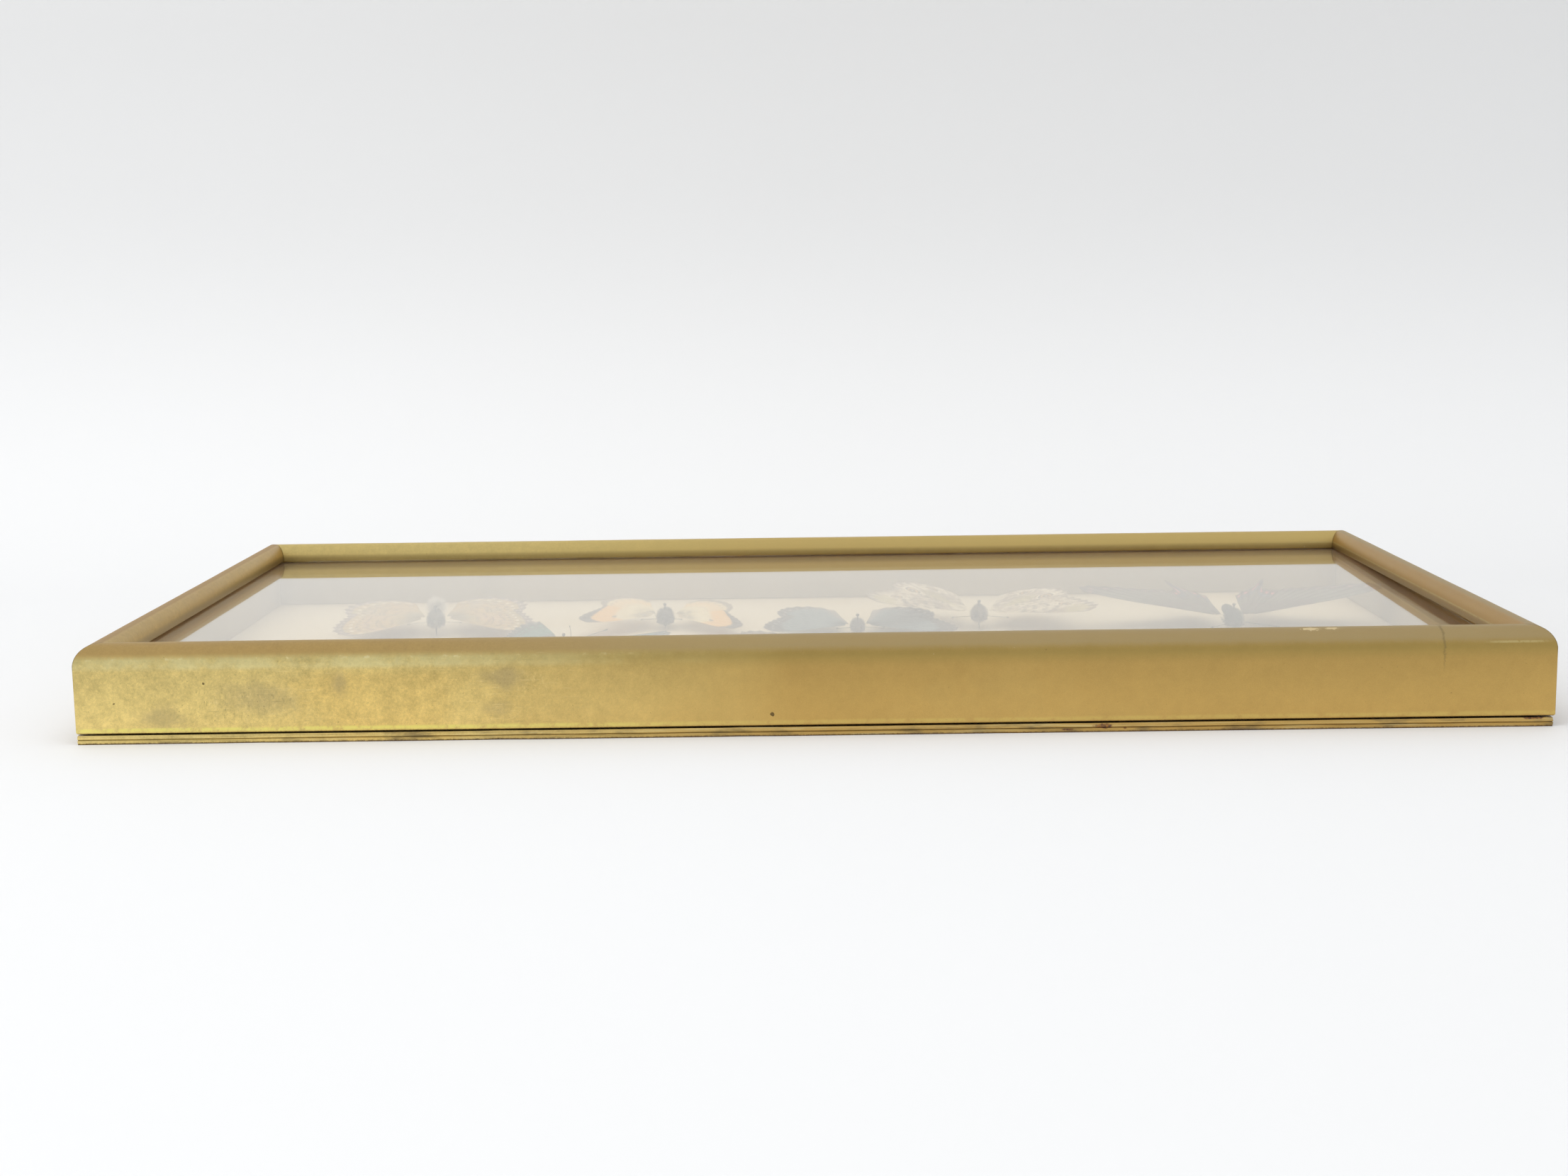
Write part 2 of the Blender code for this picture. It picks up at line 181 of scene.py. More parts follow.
def adopt(name):
    """Names the primitive just added and settles its place into its mesh."""
    obj = bpy.context.object
    obj.name = obj.data.name = name
    settle(obj)
    return obj


def settle(obj):
    """Applies an object's place, so that it sits at the origin, unturned and unscaled."""
    deselect()
    obj.select_set(True)
    bpy.context.view_layer.objects.active = obj
    bpy.ops.object.transform_apply(location=True, rotation=True, scale=True)


def edit(obj, selected=False):
    deselect()
    obj.select_set(True)
    bpy.context.view_layer.objects.active = obj
    bpy.ops.object.mode_set(mode="EDIT")
    bpy.ops.mesh.select_all(action="SELECT" if selected else "DESELECT")


def pick(kind, test):
    """In edit mode, selects only the vertices, edges or faces whose points all pass a test."""
    bpy.ops.mesh.select_mode(type=kind)
    bpy.ops.mesh.select_all(action="DESELECT")
    mesh = bpy.context.edit_object.data
    bm = bmesh.from_edit_mesh(mesh)
    items = {"VERT": bm.verts, "EDGE": bm.edges, "FACE": bm.faces}[kind]
    for item in items:
        points = [item.co] if kind == "VERT" else [vert.co for vert in item.verts]
        if all(test(point) for point in points):
            item.select_set(True)
    bm.select_flush_mode()
    bmesh.update_edit_mesh(mesh)


def extrude(step):
    bpy.ops.mesh.extrude_region_move(TRANSFORM_OT_translate={"value": tuple(step)})


def scale_about(centre, factors):
    bpy.ops.transform.resize(value=tuple(factors), center_override=tuple(centre))


def close_up(obj, merge=1e-7):
    """Merges doubles, turns every face outwards and leaves edit mode."""
    edit(obj, selected=True)
    bpy.ops.mesh.remove_doubles(threshold=merge)
    bpy.ops.mesh.normals_make_consistent(inside=False)
    bpy.ops.object.mode_set(mode="OBJECT")


def soften(obj, angle):
    deselect()
    obj.select_set(True)
    bpy.context.view_layer.objects.active = obj
    bpy.ops.object.shade_smooth_by_angle(angle=math.radians(angle))


def modify(obj, kind, **settings):
    """Adds a modifier, sets it and applies it."""
    deselect()
    obj.select_set(True)
    bpy.context.view_layer.objects.active = obj
    modifier = obj.modifiers.new(kind.title(), kind)
    for key, value in settings.items():
        setattr(modifier, key, value)
    bpy.ops.object.modifier_apply(modifier=modifier.name)


def move_points(obj, move):
    """Shapes a mesh in code: move(point) gives each vertex's new place."""
    for vert in obj.data.vertices:
        vert.co = move(vert.co)
    obj.data.update()


def join(pieces):
    """Joins the others into the first piece."""
    deselect()
    for piece in pieces:
        piece.select_set(True)
    bpy.context.view_layer.objects.active = pieces[0]
    bpy.ops.object.join()
    return pieces[0]


def finish_piece(obj, materials, slot, *nodes):
    """Gives a piece its materials and its CAD body, and hides the CAD nodes it stands for; the slot is not
    used.
    """
    obj.data.materials.clear()
    for material in materials:
        obj.data.materials.append(material)
    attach(obj, BODY)
    if nodes:
        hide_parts(*nodes)


def turned(name, stations, sides):
    """A round closed piece along +Y, drawn out ring by ring through (centre, radius) stations."""
    deselect()
    centre, radius = stations[0]
    bpy.ops.mesh.primitive_circle_add(vertices=sides, radius=radius, fill_type="NGON", location=centre,
                                      rotation=(math.pi / 2, 0, 0))
    obj = adopt(name)
    edit(obj, selected=True)
    for (near, before), (far, after) in zip(stations, stations[1:]):
        extrude(Vector(far) - Vector(near))
        factor = after / before
        scale_about(far, (factor, factor, factor))
    close_up(obj)
    return obj


def strands(name, roots, tips, widths, bends):
    """Tapered three-sided hairs from root to tip, each bent at its middle, as one mesh."""
    count = len(roots)
    along = tips - roots
    along /= np.linalg.norm(along, axis=1, keepdims=True)
    helper = np.where(np.abs(along[:, 2:3]) < 0.9, (0.0, 0.0, 1.0), (1.0, 0.0, 0.0))
    across = np.cross(along, helper)
    across /= np.linalg.norm(across, axis=1, keepdims=True)
    third = np.cross(along, across)
    middle = roots + (tips - roots) * 0.55 + bends
    points = np.empty((count, 7, 3))
    for corner in range(3):
        angle = math.tau * corner / 3
        spoke = across * math.cos(angle) + third * math.sin(angle)
        points[:, corner] = roots + spoke * widths[:, None]
        points[:, 3 + corner] = middle + spoke * widths[:, None] * 0.6
    points[:, 6] = tips
    faces = [(0, 2, 1)]
    for corner in range(3):
        after = (corner + 1) % 3
        faces.append((corner, after, 3 + after))
        faces.append((corner, 3 + after, 3 + corner))
        faces.append((3 + corner, 3 + after, 6))
    faces = np.array(faces)
    index = (faces[None] + 7 * np.arange(count)[:, None, None]).reshape(-1, 3)
    mesh = bpy.data.meshes.new(name)
    mesh.from_pydata(points.reshape(-1, 3).tolist(), [], index.tolist())
    obj = bpy.data.objects.new(name, mesh)
    bpy.context.collection.objects.link(obj)
    return obj


# ---------------------------------------------------------------------------------------------
# Shader maths: a Field is a node's output, and arithmetic on it adds the nodes


class Field:
    """A number, vector or colour that varies over a surface."""

    def __init__(self, graph, socket):
        self.graph = graph
        self.socket = socket

    def math(self, operation, *values):
        return self.graph.make("ShaderNodeMath", {"operation": operation}, dict(enumerate(values)))[0]

    def __add__(self, other):
        return self.math("ADD", self, other)

    def __radd__(self, other):
        return self.math("ADD", other, self)

    def __sub__(self, other):
        return self.math("SUBTRACT", self, other)

    def __rsub__(self, other):
        return self.math("SUBTRACT", other, self)

    def __mul__(self, other):
        return self.math("MULTIPLY", self, other)

    def __rmul__(self, other):
        return self.math("MULTIPLY", other, self)

    def __truediv__(self, other):
        return self.math("DIVIDE", self, other)

    def __abs__(self):
        return self.math("ABSOLUTE", self)

    def __pow__(self, other):
        return self.math("POWER", self, other)

    def fraction(self):
        return self.math("FRACT", self)

    def root(self):
        return self.math("SQRT", self)

    def larger(self, other):
        return self.math("MAXIMUM", self, other)

    def smaller(self, other):
        return self.math("MINIMUM", self, other)

    def rise(self, low, high):
        """0 below low, 1 above high and smooth between; with low above high it falls instead."""
        settings = {"interpolation_type": "SMOOTHSTEP"}
        if low > high:
            return 1 - self.rise(high, low)
        return self.graph.make("ShaderNodeMapRange", settings, {0: self, 1: low, 2: high, 3: 0.0, 4: 1.0})[0]

    def band(self, low, high, soft):
        """1 between low and high, 0 outside."""
        return self.rise(low - soft, low + soft) * self.rise(high + soft, high - soft)

    def split(self):
        parts = self.graph.make("ShaderNodeSeparateXYZ", {}, {0: self})
        return parts[0], parts[1], parts[2]


class Outputs:
    """A made node's outputs, read by name or number."""

    def __init__(self, graph, node):
        self.graph = graph
        self.node = node

    def __getitem__(self, key):
        return Field(self.graph, self.node.outputs[key])


class Graph:
    """One material's node graph."""

    def __init__(self, name):
        self.material = bpy.data.materials.new(name)
        self.material.use_nodes = True
        self.tree = self.material.node_tree
        self.tree.nodes.clear()

    def make(self, kind, settings, inputs):
        node = self.tree.nodes.new(kind)
        for key, value in settings.items():
            setattr(node, key, value)
        for key, value in inputs.items():
            socket = node.inputs[key]
            if isinstance(value, Field):
                self.tree.links.new(value.socket, socket)
            elif isinstance(value, (tuple, list)) and len(value) == 3 and socket.type == "RGBA":
                socket.default_value = (*value, 1.0)
            else:
                socket.default_value = value
        return Outputs(self, node)

    def place(self):
        return self.make("ShaderNodeTexCoord", {}, {})["Object"]

    def surface_map(self):
        """The piece's own UV as two Fields."""
        u, v, _ = self.make("ShaderNodeUVMap", {"uv_map": "UVMap"}, {})["UV"].split()
        return u, v

    def vector(self, x, y, z):
        return self.make("ShaderNodeCombineXYZ", {}, {0: x, 1: y, 2: z})[0]

    def noise(self, at, scale, detail=3.0, roughness=0.5):
        inputs = {"Vector": at, "Scale": scale, "Detail": detail, "Roughness": roughness}
        return self.make("ShaderNodeTexNoise", {}, inputs)["Fac"]

    def cells(self, at, scale, feature="F1"):
        return self.make("ShaderNodeTexVoronoi", {"feature": feature}, {"Vector": at, "Scale": scale})[0]

    def stretch(self, at, scale):
        """The place with each axis scaled by its own factor."""
        return self.make("ShaderNodeVectorMath", {"operation": "MULTIPLY"}, {0: at, 1: scale})[0]

    def distance(self, at, centre, scale=(1.0, 1.0, 1.0)):
        offset = self.make("ShaderNodeVectorMath", {"operation": "SUBTRACT"}, {0: at, 1: centre})[0]
        return self.make("ShaderNodeVectorMath", {"operation": "LENGTH"}, {0: self.stretch(offset, scale)})[1]

    def mix(self, factor, first, second):
        settings = {"data_type": "RGBA", "clamp_factor": True}
        return self.make("ShaderNodeMix", settings, {0: factor, 6: first, 7: second})[2]

    def shade(self, tone, factor):
        """A colour multiplied by a number."""
        return self.make("ShaderNodeVectorMath", {"operation": "SCALE"}, {0: tone, "Scale": factor})[0]

    def bump(self, height, distance, strength=1.0):
        inputs = {"Height": height, "Distance": distance, "Strength": strength}
        return self.make("ShaderNodeBump", {}, inputs)[0]

    def principled(self, inputs):
        return self.make("ShaderNodeBsdfPrincipled", {}, inputs)["BSDF"]

    def finish(self, shader):
        self.make("ShaderNodeOutputMaterial", {}, {"Surface": shader})
        return self.material


# ---------------------------------------------------------------------------------------------
# Finishes of the frame


# Where the front face is scuffed, by (x, z) and reach: smoky patches, and patches of fine scratches
SMOKE = (
    ((-0.2080, 0.0175), (0.0200, 0.0100)),
    ((-0.1790, 0.0225), (0.0050, 0.0070)),
    ((-0.2480, 0.0100), (0.0150, 0.0060)),
    ((-0.1180, 0.0240), (0.0120, 0.0065)),
    ((-0.1230, 0.0120), (0.0090, 0.0050)),
)
SCRATCHES = (
    ((-0.2180, 0.0150), (0.0300, 0.0110)),
    ((-0.1060, 0.0215), (0.0080, 0.0080)),
)
# Where gilding has flaked off the crown: (x, y), reach across and along
FLAKES = (
    ((0.1880, -0.1436), (0.0036, 0.0012)),
    ((0.1965, -0.1434), (0.0026, 0.0011)),
    ((0.1050, 0.1432), (0.0030, 0.0008)),
    ((-0.2755, -0.0200), (0.0010, 0.0030)),
)


def patches(g, at, spots, origin, ragged, hard):
    """A mask over patches whose edges wander; origin gives each patch's place from its pair."""
    found = None
    for middle, (reach_a, reach_b) in spots:
        centre, scale = origin(middle, reach_a, reach_b)
        patch = (g.distance(at, centre, scale) + ragged).rise(1.0, hard)
        found = patch if found is None else found.larger(patch)
    return found


def on_front(middle, reach_x, reach_z):
    return (middle[0], -HALF_DEPTH, middle[1]), (1 / reach_x, 1 / reach_x, 1 / reach_z)


def on_crown(middle, reach_x, reach_y):
    return (middle[0], middle[1], FRAME_TOP), (1 / reach_x, 1 / reach_y, 90.0)


def gilt(name, settings, board=False):
    """Bronze-powder gilding: greenish and worn at one end, warm at the other, brown on its crown; with
    painted shade and painted highlights.
    """
    g = Graph(name)
    at = g.place()
    x, y, z = at.split()
    to_side = HALF_WIDTH - abs(x)
    inset = to_side.smaller(HALF_DEPTH - abs(y))
    back = (to_side - HALF_DEPTH + y).rise(-0.0002, 0.0002)
    side = (HALF_DEPTH - abs(y) - to_side).rise(-0.0002, 0.0002)
    broad = g.noise(at, 11.0, 4.0, 0.6)
    medium = g.noise(at, 55.0, 6.0, 0.66)
    mottle = g.noise(at, 240.0, 5.0, 0.7)
    fine = g.noise(at, 900.0, 4.0, 0.7)
    powder = g.noise(at, 3600.0, 2.0, 0.6)

    # from greenish yellow at the left to warm gold at the right
    across = x.rise(-0.20, 0.02) + (broad - 0.5) * 0.7
    tone = g.mix(across, tuple(settings.gilt_left), tuple(settings.gilt_right))
    rubbed_end = (x + (broad - 0.5) * 0.10).rise(-0.02, -0.16)
    golden = (x + (medium - 0.5) * 0.05).band(-0.196, -0.136, 0.014) * z.rise(0.030, 0.024)
    tone = g.mix(golden * 0.55, tone, (0.70, 0.49, 0.155))
    drift = (medium - 0.5) * (0.24 + 0.20 * rubbed_end) + (mottle - 0.5) * (0.14 + 0.55 * rubbed_end)
    drift = drift + (fine - 0.5) * 0.60 * rubbed_end
    # painted light: the gilding is made lighter towards the bottom of the face and darker up on the crown,
    # for light thrown up from the floor
    tone = g.shade(tone, (z.rise(0.030, 0.006) * 0.20 + 0.90 + drift) * (0.87 + 0.26 * powder))

    # smoky patches and fine scratches on the front
    smoke = patches(g, at, SMOKE, on_front, (medium - 0.5) * 2.2, 0.1) * settings.wear
    tone = g.mix(smoke * (0.15 + 0.45 * mottle), tone, (0.340, 0.285, 0.165))
    hatch = g.noise(g.stretch(at, (700.0, 700.0, 260.0)), 1.0, 5.0, 0.75)
    lines = g.noise(g.stretch(at, (110.0, 110.0, 1500.0)), 1.0, 3.0, 0.7)
    scraped = patches(g, at, SCRATCHES, on_front, (medium - 0.5) * 1.4, 0.2) * settings.wear
    dark_bits = scraped * hatch.rise(0.56, 0.66) * mottle.rise(0.35, 0.55)
    tone = g.mix(dark_bits * 0.50, tone, (0.20, 0.155, 0.055))
    bright_bits = scraped * (1 - hatch).rise(0.55, 0.66)
    tone = g.mix(bright_bits * 0.55, tone, (0.86, 0.68, 0.30))
    slanting = g.noise(g.vector((x + z) * 300.0, y * 300.0, (z - x) * 1500.0), 1.0, 4.0, 0.7)
    scored = rubbed_end * broad.rise(0.35, 0.60) * (1 - back)
    tone = g.mix(scored * lines.larger(slanting).rise(0.60, 0.70) * 0.45, tone, (0.90, 0.74, 0.36))
    tone = g.mix(scored * (1 - lines.smaller(slanting)).rise(0.62, 0.72) * 0.45, tone, (0.26, 0.20, 0.08))
    specks = g.cells(at, 520.0) + (fine - 0.5) * 0.3
    pits = specks.rise(0.13, 0.04) * mottle.rise(0.50, 0.62)
    tone = g.mix(pits * (0.25 + 0.35 * rubbed_end), tone, (0.16, 0.115, 0.04))

    # the crown: a painted highlight along its shoulder at the worn left end, olive where not worn, brown
    # above as tarnished gilding with painted shade, the back rail's upper part painted lighter as a
    # highlight, and a painted shadow line at the lip's edge
    ragged = (fine - 0.5) * 0.0016 + (medium - 0.5) * 0.0010
    tone = g.mix(side * (0.45 + 0.35 * broad), tone, (0.44, 0.27, 0.10))
    outer = inset.rise(0.0100, 0.0086)
    # painted highlight: a pale band along the crown's shoulder, stronger at the worn left end
    shoulder_highlight = (z + ragged).band(0.0288, 0.0332, 0.0012) * outer * rubbed_end
    tone = g.mix(shoulder_highlight * medium.rise(0.30, 0.62) * 0.55, tone, (0.70, 0.65, 0.34))
    olive = (z + ragged).band(0.0285, 0.0338, 0.0030) * outer * (1 - rubbed_end) * (1 - back)
    tone = g.mix(olive * 0.45, tone, (0.29, 0.225, 0.065))
    # tarnished gilding and painted shade: the crown's tops are made brown, mostly not on the back rail, which
    # faces the light
    crown = (z + ragged).rise(0.0320, 0.0350) * outer * (1 - 0.85 * back)
    brown = g.mix(x.rise(-0.20, 0.0), tuple(settings.tarnish_and_shade), (0.37, 0.285, 0.145))
    tone = g.mix(crown * (0.72 + 0.20 * (mottle - 0.5)), tone, brown)
    grazed = (z + ragged).band(0.0322, 0.0330, 0.0003) * outer * mottle.rise(0.55, 0.66)
    tone = g.mix(grazed * 0.45 * rubbed_end, tone, (0.80, 0.73, 0.44))
    worn_line = z.band(0.0324, 0.0331, 0.0003) * x.band(0.255, 0.275, 0.004) * fine.rise(0.3, 0.5)
    tone = g.mix(worn_line * 0.5, tone, (0.66, 0.55, 0.26))
    # painted highlight: the back rail's upper part, which faces the light, is made lighter gold
    tone = g.mix(back * z.rise(0.0290, 0.0320) * 0.6, tone, (0.70, 0.545, 0.215))
    # painted shadow: a dark line along the lip's edge, where it meets the glass
    lip = inset.rise(0.0125, 0.0130)
    tone = g.mix(lip * (0.45 + 0.3 * mottle), tone, (0.15, 0.105, 0.04))

    # the mitres and one drying crack at the right
    corner = abs((HALF_WIDTH - abs(x)) - (HALF_DEPTH - abs(y))) + (fine - 0.5) * 0.0003
    mitre = corner.rise(0.00045, 0.00015) * z.rise(0.0270, 0.0300)
    tone = g.mix(mitre * 0.45, tone, (0.12, 0.08, 0.03))
    crack = abs(x - 0.2373 + (medium - 0.5) * 0.0060).rise(0.0007, 0.0001) * z.rise(0.020, 0.030)
    crack = crack * y.rise(0.0, -0.13) * fine.rise(0.38, 0.5)
    tone = g.mix(crack * 0.50, tone, (0.20, 0.15, 0.065))

    # a painted highlight on the rounded arris above the bottom edge, painted shade below it in the gap to the
    # back board
    if board:
        tone = board_grime_and_shade(g, tone, at, x, z, fine, mottle)
    else:
        # painted highlight: a bright line on the rounded arris above the bottom edge, stronger at the worn
        # left end
        arris_highlight = (z + ragged * 0.5).band(0.0047, 0.0062, 0.0005) * (0.25 + 0.75 * rubbed_end)
        tone = g.mix(arris_highlight * mottle.rise(0.32, 0.55) * 0.75, tone, (0.88, 0.80, 0.22))
        # painted shade: the rail's bottom edge is made near black, in the gap to the back board
        gap_shade = (z + (fine - 0.5) * 0.0004).rise(0.0046, 0.0041)
        tone = g.mix(gap_shade * 0.8, tone, (0.060, 0.040, 0.018))

    # flakes down to the pale ground, and a few dark knocks
    bare = patches(g, at, FLAKES, on_crown, (fine - 0.5) * 2.6, 0.8)
    edges = (z.band(0.0305, 0.0330, 0.0005) * outer + inset.band(0.0121, 0.0129, 0.0003)).smaller(1.0)
    bare = bare.larger(mottle.rise(0.70, 0.73) * edges) * settings.wear
    tone = g.mix(bare * 0.62, tone, (0.72, 0.58, 0.34))
    knocks = g.noise(at, 170.0, 2.0, 0.5).rise(0.775, 0.79)
    tone = g.mix(knocks * 0.8, tone, (0.07, 0.045, 0.02))

    rough = 0.41 + 0.12 * crown + 0.14 * (medium - 0.5) + 0.20 * smoke + 0.3 * bare
    metal = 0.86 - 0.28 * crown - 0.45 * bare - 0.25 * smoke
    height = 0.35 * powder + 0.5 * fine + 0.5 * hatch * scraped
    height = height - 0.9 * bare - 0.5 * pits - 0.6 * knocks - crack
    return g.finish(g.principled({
        "Base Color": tone, "Roughness": rough, "Metallic": metal,
        "Normal": g.bump(height, 0.00016, 0.55),
    }))


# Losses on the back board's front edge: (x, z) and reach
LOSSES = (
    ((0.1095, 0.0024), (0.0040, 0.0012)),
    ((0.0955, 0.0012), (0.0023, 0.0004)),
    ((0.1175, 0.0015), (0.0008, 0.0005)),
    ((0.2720, 0.0035), (0.0042, 0.0008)),
)


def board_grime_and_shade(g, tone, at, x, z, fine, medium):
    """The back board's edge: a faint groove, dirty stretches, painted shade along its bottom, and a few
    losses down to brown wood.
    """
    dirt = g.noise(g.stretch(at, (34.0, 34.0, 120.0)), 1.0, 4.0, 0.65)
    tone = g.mix(dirt.rise(0.48, 0.66) * 0.75, tone, (0.20, 0.145, 0.075))
    streak = g.noise(g.stretch(at, (26.0, 26.0, 1100.0)), 1.0, 4.0, 0.7)
    tone = g.mix(streak.rise(0.50, 0.70) * 0.55, tone, (0.74, 0.64, 0.32))
    tone = g.mix((1 - streak).rise(0.52, 0.70) * 0.45, tone, (0.16, 0.12, 0.045))
    groove = z.band(0.0016, 0.0020, 0.0002)
    tone = g.mix(groove * (0.25 + 0.4 * medium), tone, (0.10, 0.07, 0.025))
    # painted shade: the board's bottom edge is made dark where it meets the floor
    lower = (z + (fine - 0.5) * 0.0010).rise(0.0008, 0.0002)
    tone = g.mix(lower * 0.85, tone, (0.075, 0.040, 0.030))
    torn = patches(g, at, LOSSES, on_front, (medium - 0.5) * 1.6, 0.7)
    torn = torn.larger((g.noise(at, 70.0, 5.0, 0.7)).rise(0.70, 0.73))
    wood = g.mix(fine.rise(0.4, 0.6), (0.085, 0.040, 0.045), (0.36, 0.17, 0.05))
    return g.mix(torn * 0.9, tone, wood)


def bare_board(settings):
    """The underside of the back board: stained hardboard with sanding marks."""
    g = Graph("board_wood")
    at = g.place()
    grain = g.noise(g.stretch(at, (16.0, 260.0, 260.0)), 1.0, 5.0, 0.65)
    fibre = g.noise(at, 900.0, 3.0, 0.6)
    stain = g.noise(at, 7.0, 4.0, 0.6)
    tone = g.mix(grain, (0.17, 0.095, 0.045), (0.36, 0.225, 0.115))
    tone = g.mix(stain.rise(0.52, 0.70) * 0.45, tone, (0.12, 0.07, 0.035))
    tone = g.shade(tone, 0.8 + 0.4 * fibre)
    return g.finish(g.principled({
        "Base Color": tone, "Roughness": 0.72 + 0.15 * fibre,
        "Normal": g.bump(grain * 0.6 + fibre * 0.4, 0.00020, 0.5),
    }))


def paper(name, base, aged, foxing, fibre_depth, binding_and_shade=False):
    """Matt lining paper with fibres, uneven ageing, foxed spots and painted shade towards the box's walls; on
    the walls, a brown tape strip along their top, darkened as painted shade under the lip.
    """
    g = Graph(name)
    at = g.place()
    cloudy = g.noise(at, 11.0, 4.0, 0.6)
    fibre = g.noise(at, 1500.0, 4.0, 0.65)
    laid = g.noise(g.stretch(at, (90.0, 900.0, 900.0)), 1.0, 3.0, 0.6)
    tone = g.mix(cloudy.rise(0.42, 0.68), base, aged)
    tone = g.shade(tone, 0.955 + 0.09 * fibre)
    spots = (g.cells(at, 46.0) + (g.noise(at, 260.0) - 0.5) * 0.16).rise(0.085, 0.035)
    spots = spots * g.noise(at, 13.0).rise(0.50, 0.60)
    tone = g.mix(spots * foxing, tone, (0.52, 0.37, 0.19))
    x, y, z = at.split()
    edge = (HALF_WIDTH - WEB_INSET - abs(x)).smaller(HALF_DEPTH - WEB_INSET - abs(y))
    # painted shade: the paper darkens towards the walls of the box
    tone = g.mix((edge + (cloudy - 0.5) * 0.012).rise(0.012, 0.001) * 0.30, tone, (0.50, 0.43, 0.32))
    if binding_and_shade:
        # brown tape, darkened as painted shade under the lip: the strip along the top of the walls
        strip = (z + (fibre - 0.5) * 0.0004).rise(0.0205, 0.0208)
        kraft_and_shade = g.mix(laid, (0.160, 0.072, 0.018), (0.235, 0.120, 0.034))
        tone = g.mix(strip * 0.95, tone, kraft_and_shade)
    return g.finish(g.principled({
        "Base Color": tone, "Roughness": 0.86 + 0.08 * (fibre - 0.5),
        "Normal": g.bump(fibre * 0.6 + laid * 0.4, fibre_depth, 0.4),
    }))


def clear_glass(settings):
    """Picture glass, faintly dusty; light from lamps and walls passes it straight."""
    g = Graph("picture_glass")
    at = g.place()
    wiped = g.noise(g.stretch(at, (9.0, 30.0, 30.0)), 1.0, 4.0, 0.65)
    solid = g.principled({
        "Base Color": tuple(settings.tint), "Roughness": wiped.rise(0.5, 0.8) * 0.035, "IOR": 1.5,
        "Transmission Weight": 0.955,
    })
    path = g.make("ShaderNodeLightPath", {}, {})
    clear = g.make("ShaderNodeBsdfTransparent", {}, {"Color": (0.94, 0.92, 0.86)})[0]
    for ray in ("Is Shadow Ray", "Is Diffuse Ray"):
        solid = g.make("ShaderNodeMixShader", {}, {0: path[ray], 1: solid, 2: clear})[0]
    return g.finish(solid)


def pin_steel():
    """Blackened steel, slightly rusted in patches."""
    g = Graph("pin_steel")
    at = g.place()
    worn = g.noise(at, 900.0, 4.0, 0.6)
    tone = g.mix(worn.rise(0.5, 0.7), (0.055, 0.055, 0.06), (0.16, 0.11, 0.08))
    return g.finish(g.principled({
        "Base Color": tone, "Metallic": 0.85, "Roughness": 0.28 + 0.3 * worn,
        "Normal": g.bump(worn, 0.00003, 0.4),
    }))


# ---------------------------------------------------------------------------------------------
# The butterflies' patterns, drawn in a wing's own map: reach from root to edge, share from the
# trailing edge to the leading edge


LANES = 8
CELL_END = 0.46


class WingMap:
    """The fields that every wing pattern uses."""

    def __init__(self, g, fore):
        self.g = g
        self.fore = fore
        u, v = g.surface_map()
        self.at = g.place()
        self.flat = g.vector(u, v, 0.0)
        self.cloud = g.noise(self.at, 95.0, 4.0, 0.6)
        self.mottle = g.noise(self.at, 420.0, 4.0, 0.65)
        self.scales = g.noise(self.at, 5200.0, 2.0, 0.6)
        wander = g.noise(self.at, 210.0, 3.0, 0.6) - 0.5
        self.reach = u + wander * 0.035
        self.share = v + wander * 0.012
        self.lane = self.share * LANES
        middle = self.lane.fraction() - 0.5
        self.middle = middle
        self.off_vein = 0.5 - abs((v * LANES).fraction() - 0.5)
        self.rays = g.noise(g.stretch(self.flat, (5.0, 150.0, 1.0)), 1.0, 4.0, 0.65)
        # how many lane widths one unit of reach is, so that spots come out round
        self.aspect = 9.0 if fore else 5.6

    def veins(self):
        outer = self.off_vein.rise(0.075, 0.02) * self.reach.rise(CELL_END - 0.02, CELL_END + 0.02)
        low, high = (3 / LANES, 7 / LANES)
        walls = (abs(self.share - low)).smaller(abs(self.share - high)).rise(0.012, 0.003)
        walls = walls * self.reach.rise(CELL_END + 0.02, CELL_END - 0.02)
        cap = abs(self.reach - CELL_END).rise(0.012, 0.004) * self.share.band(low, high, 0.01)
        return outer.larger(walls).larger(cap)

    def scalloped(self, low, depth=0.05):
        """The border beyond a reach, bowed inwards between the veins."""
        return (self.reach + depth * (abs(self.middle) * 2) ** 2 - depth * 0.5).rise(low - 0.012, low + 0.012)

    def spots(self, reach, size, soft=0.06):
        """A row of round spots, one between each two veins."""
        across = (self.reach - reach) * self.aspect
        away = (across * across + self.middle * self.middle).root() + (self.mottle - 0.5) * 0.12
        return away.rise(size + soft, size - soft)

    def away(self, reach, share_, stretch=1.0):
        """Distance, in lane widths, from one place on the wing."""
        across = (self.reach - reach) * self.aspect
        along = (self.share - share_) * LANES * stretch
        return (across * across + along * along).root()

    def bands(self, reach, half_width, wave=0.05):
        """A band across the wing that steps in and out from lane to lane."""
        step = self.g.noise(self.g.vector(self.lane.math("FLOOR", self.lane), reach * 7.0, 0.0), 3.7, 0.0)
        place = self.reach + (step - 0.5) * wave * 4 + (self.mottle - 0.5) * 0.03
        return place.band(reach - half_width, reach + half_width, 0.010)


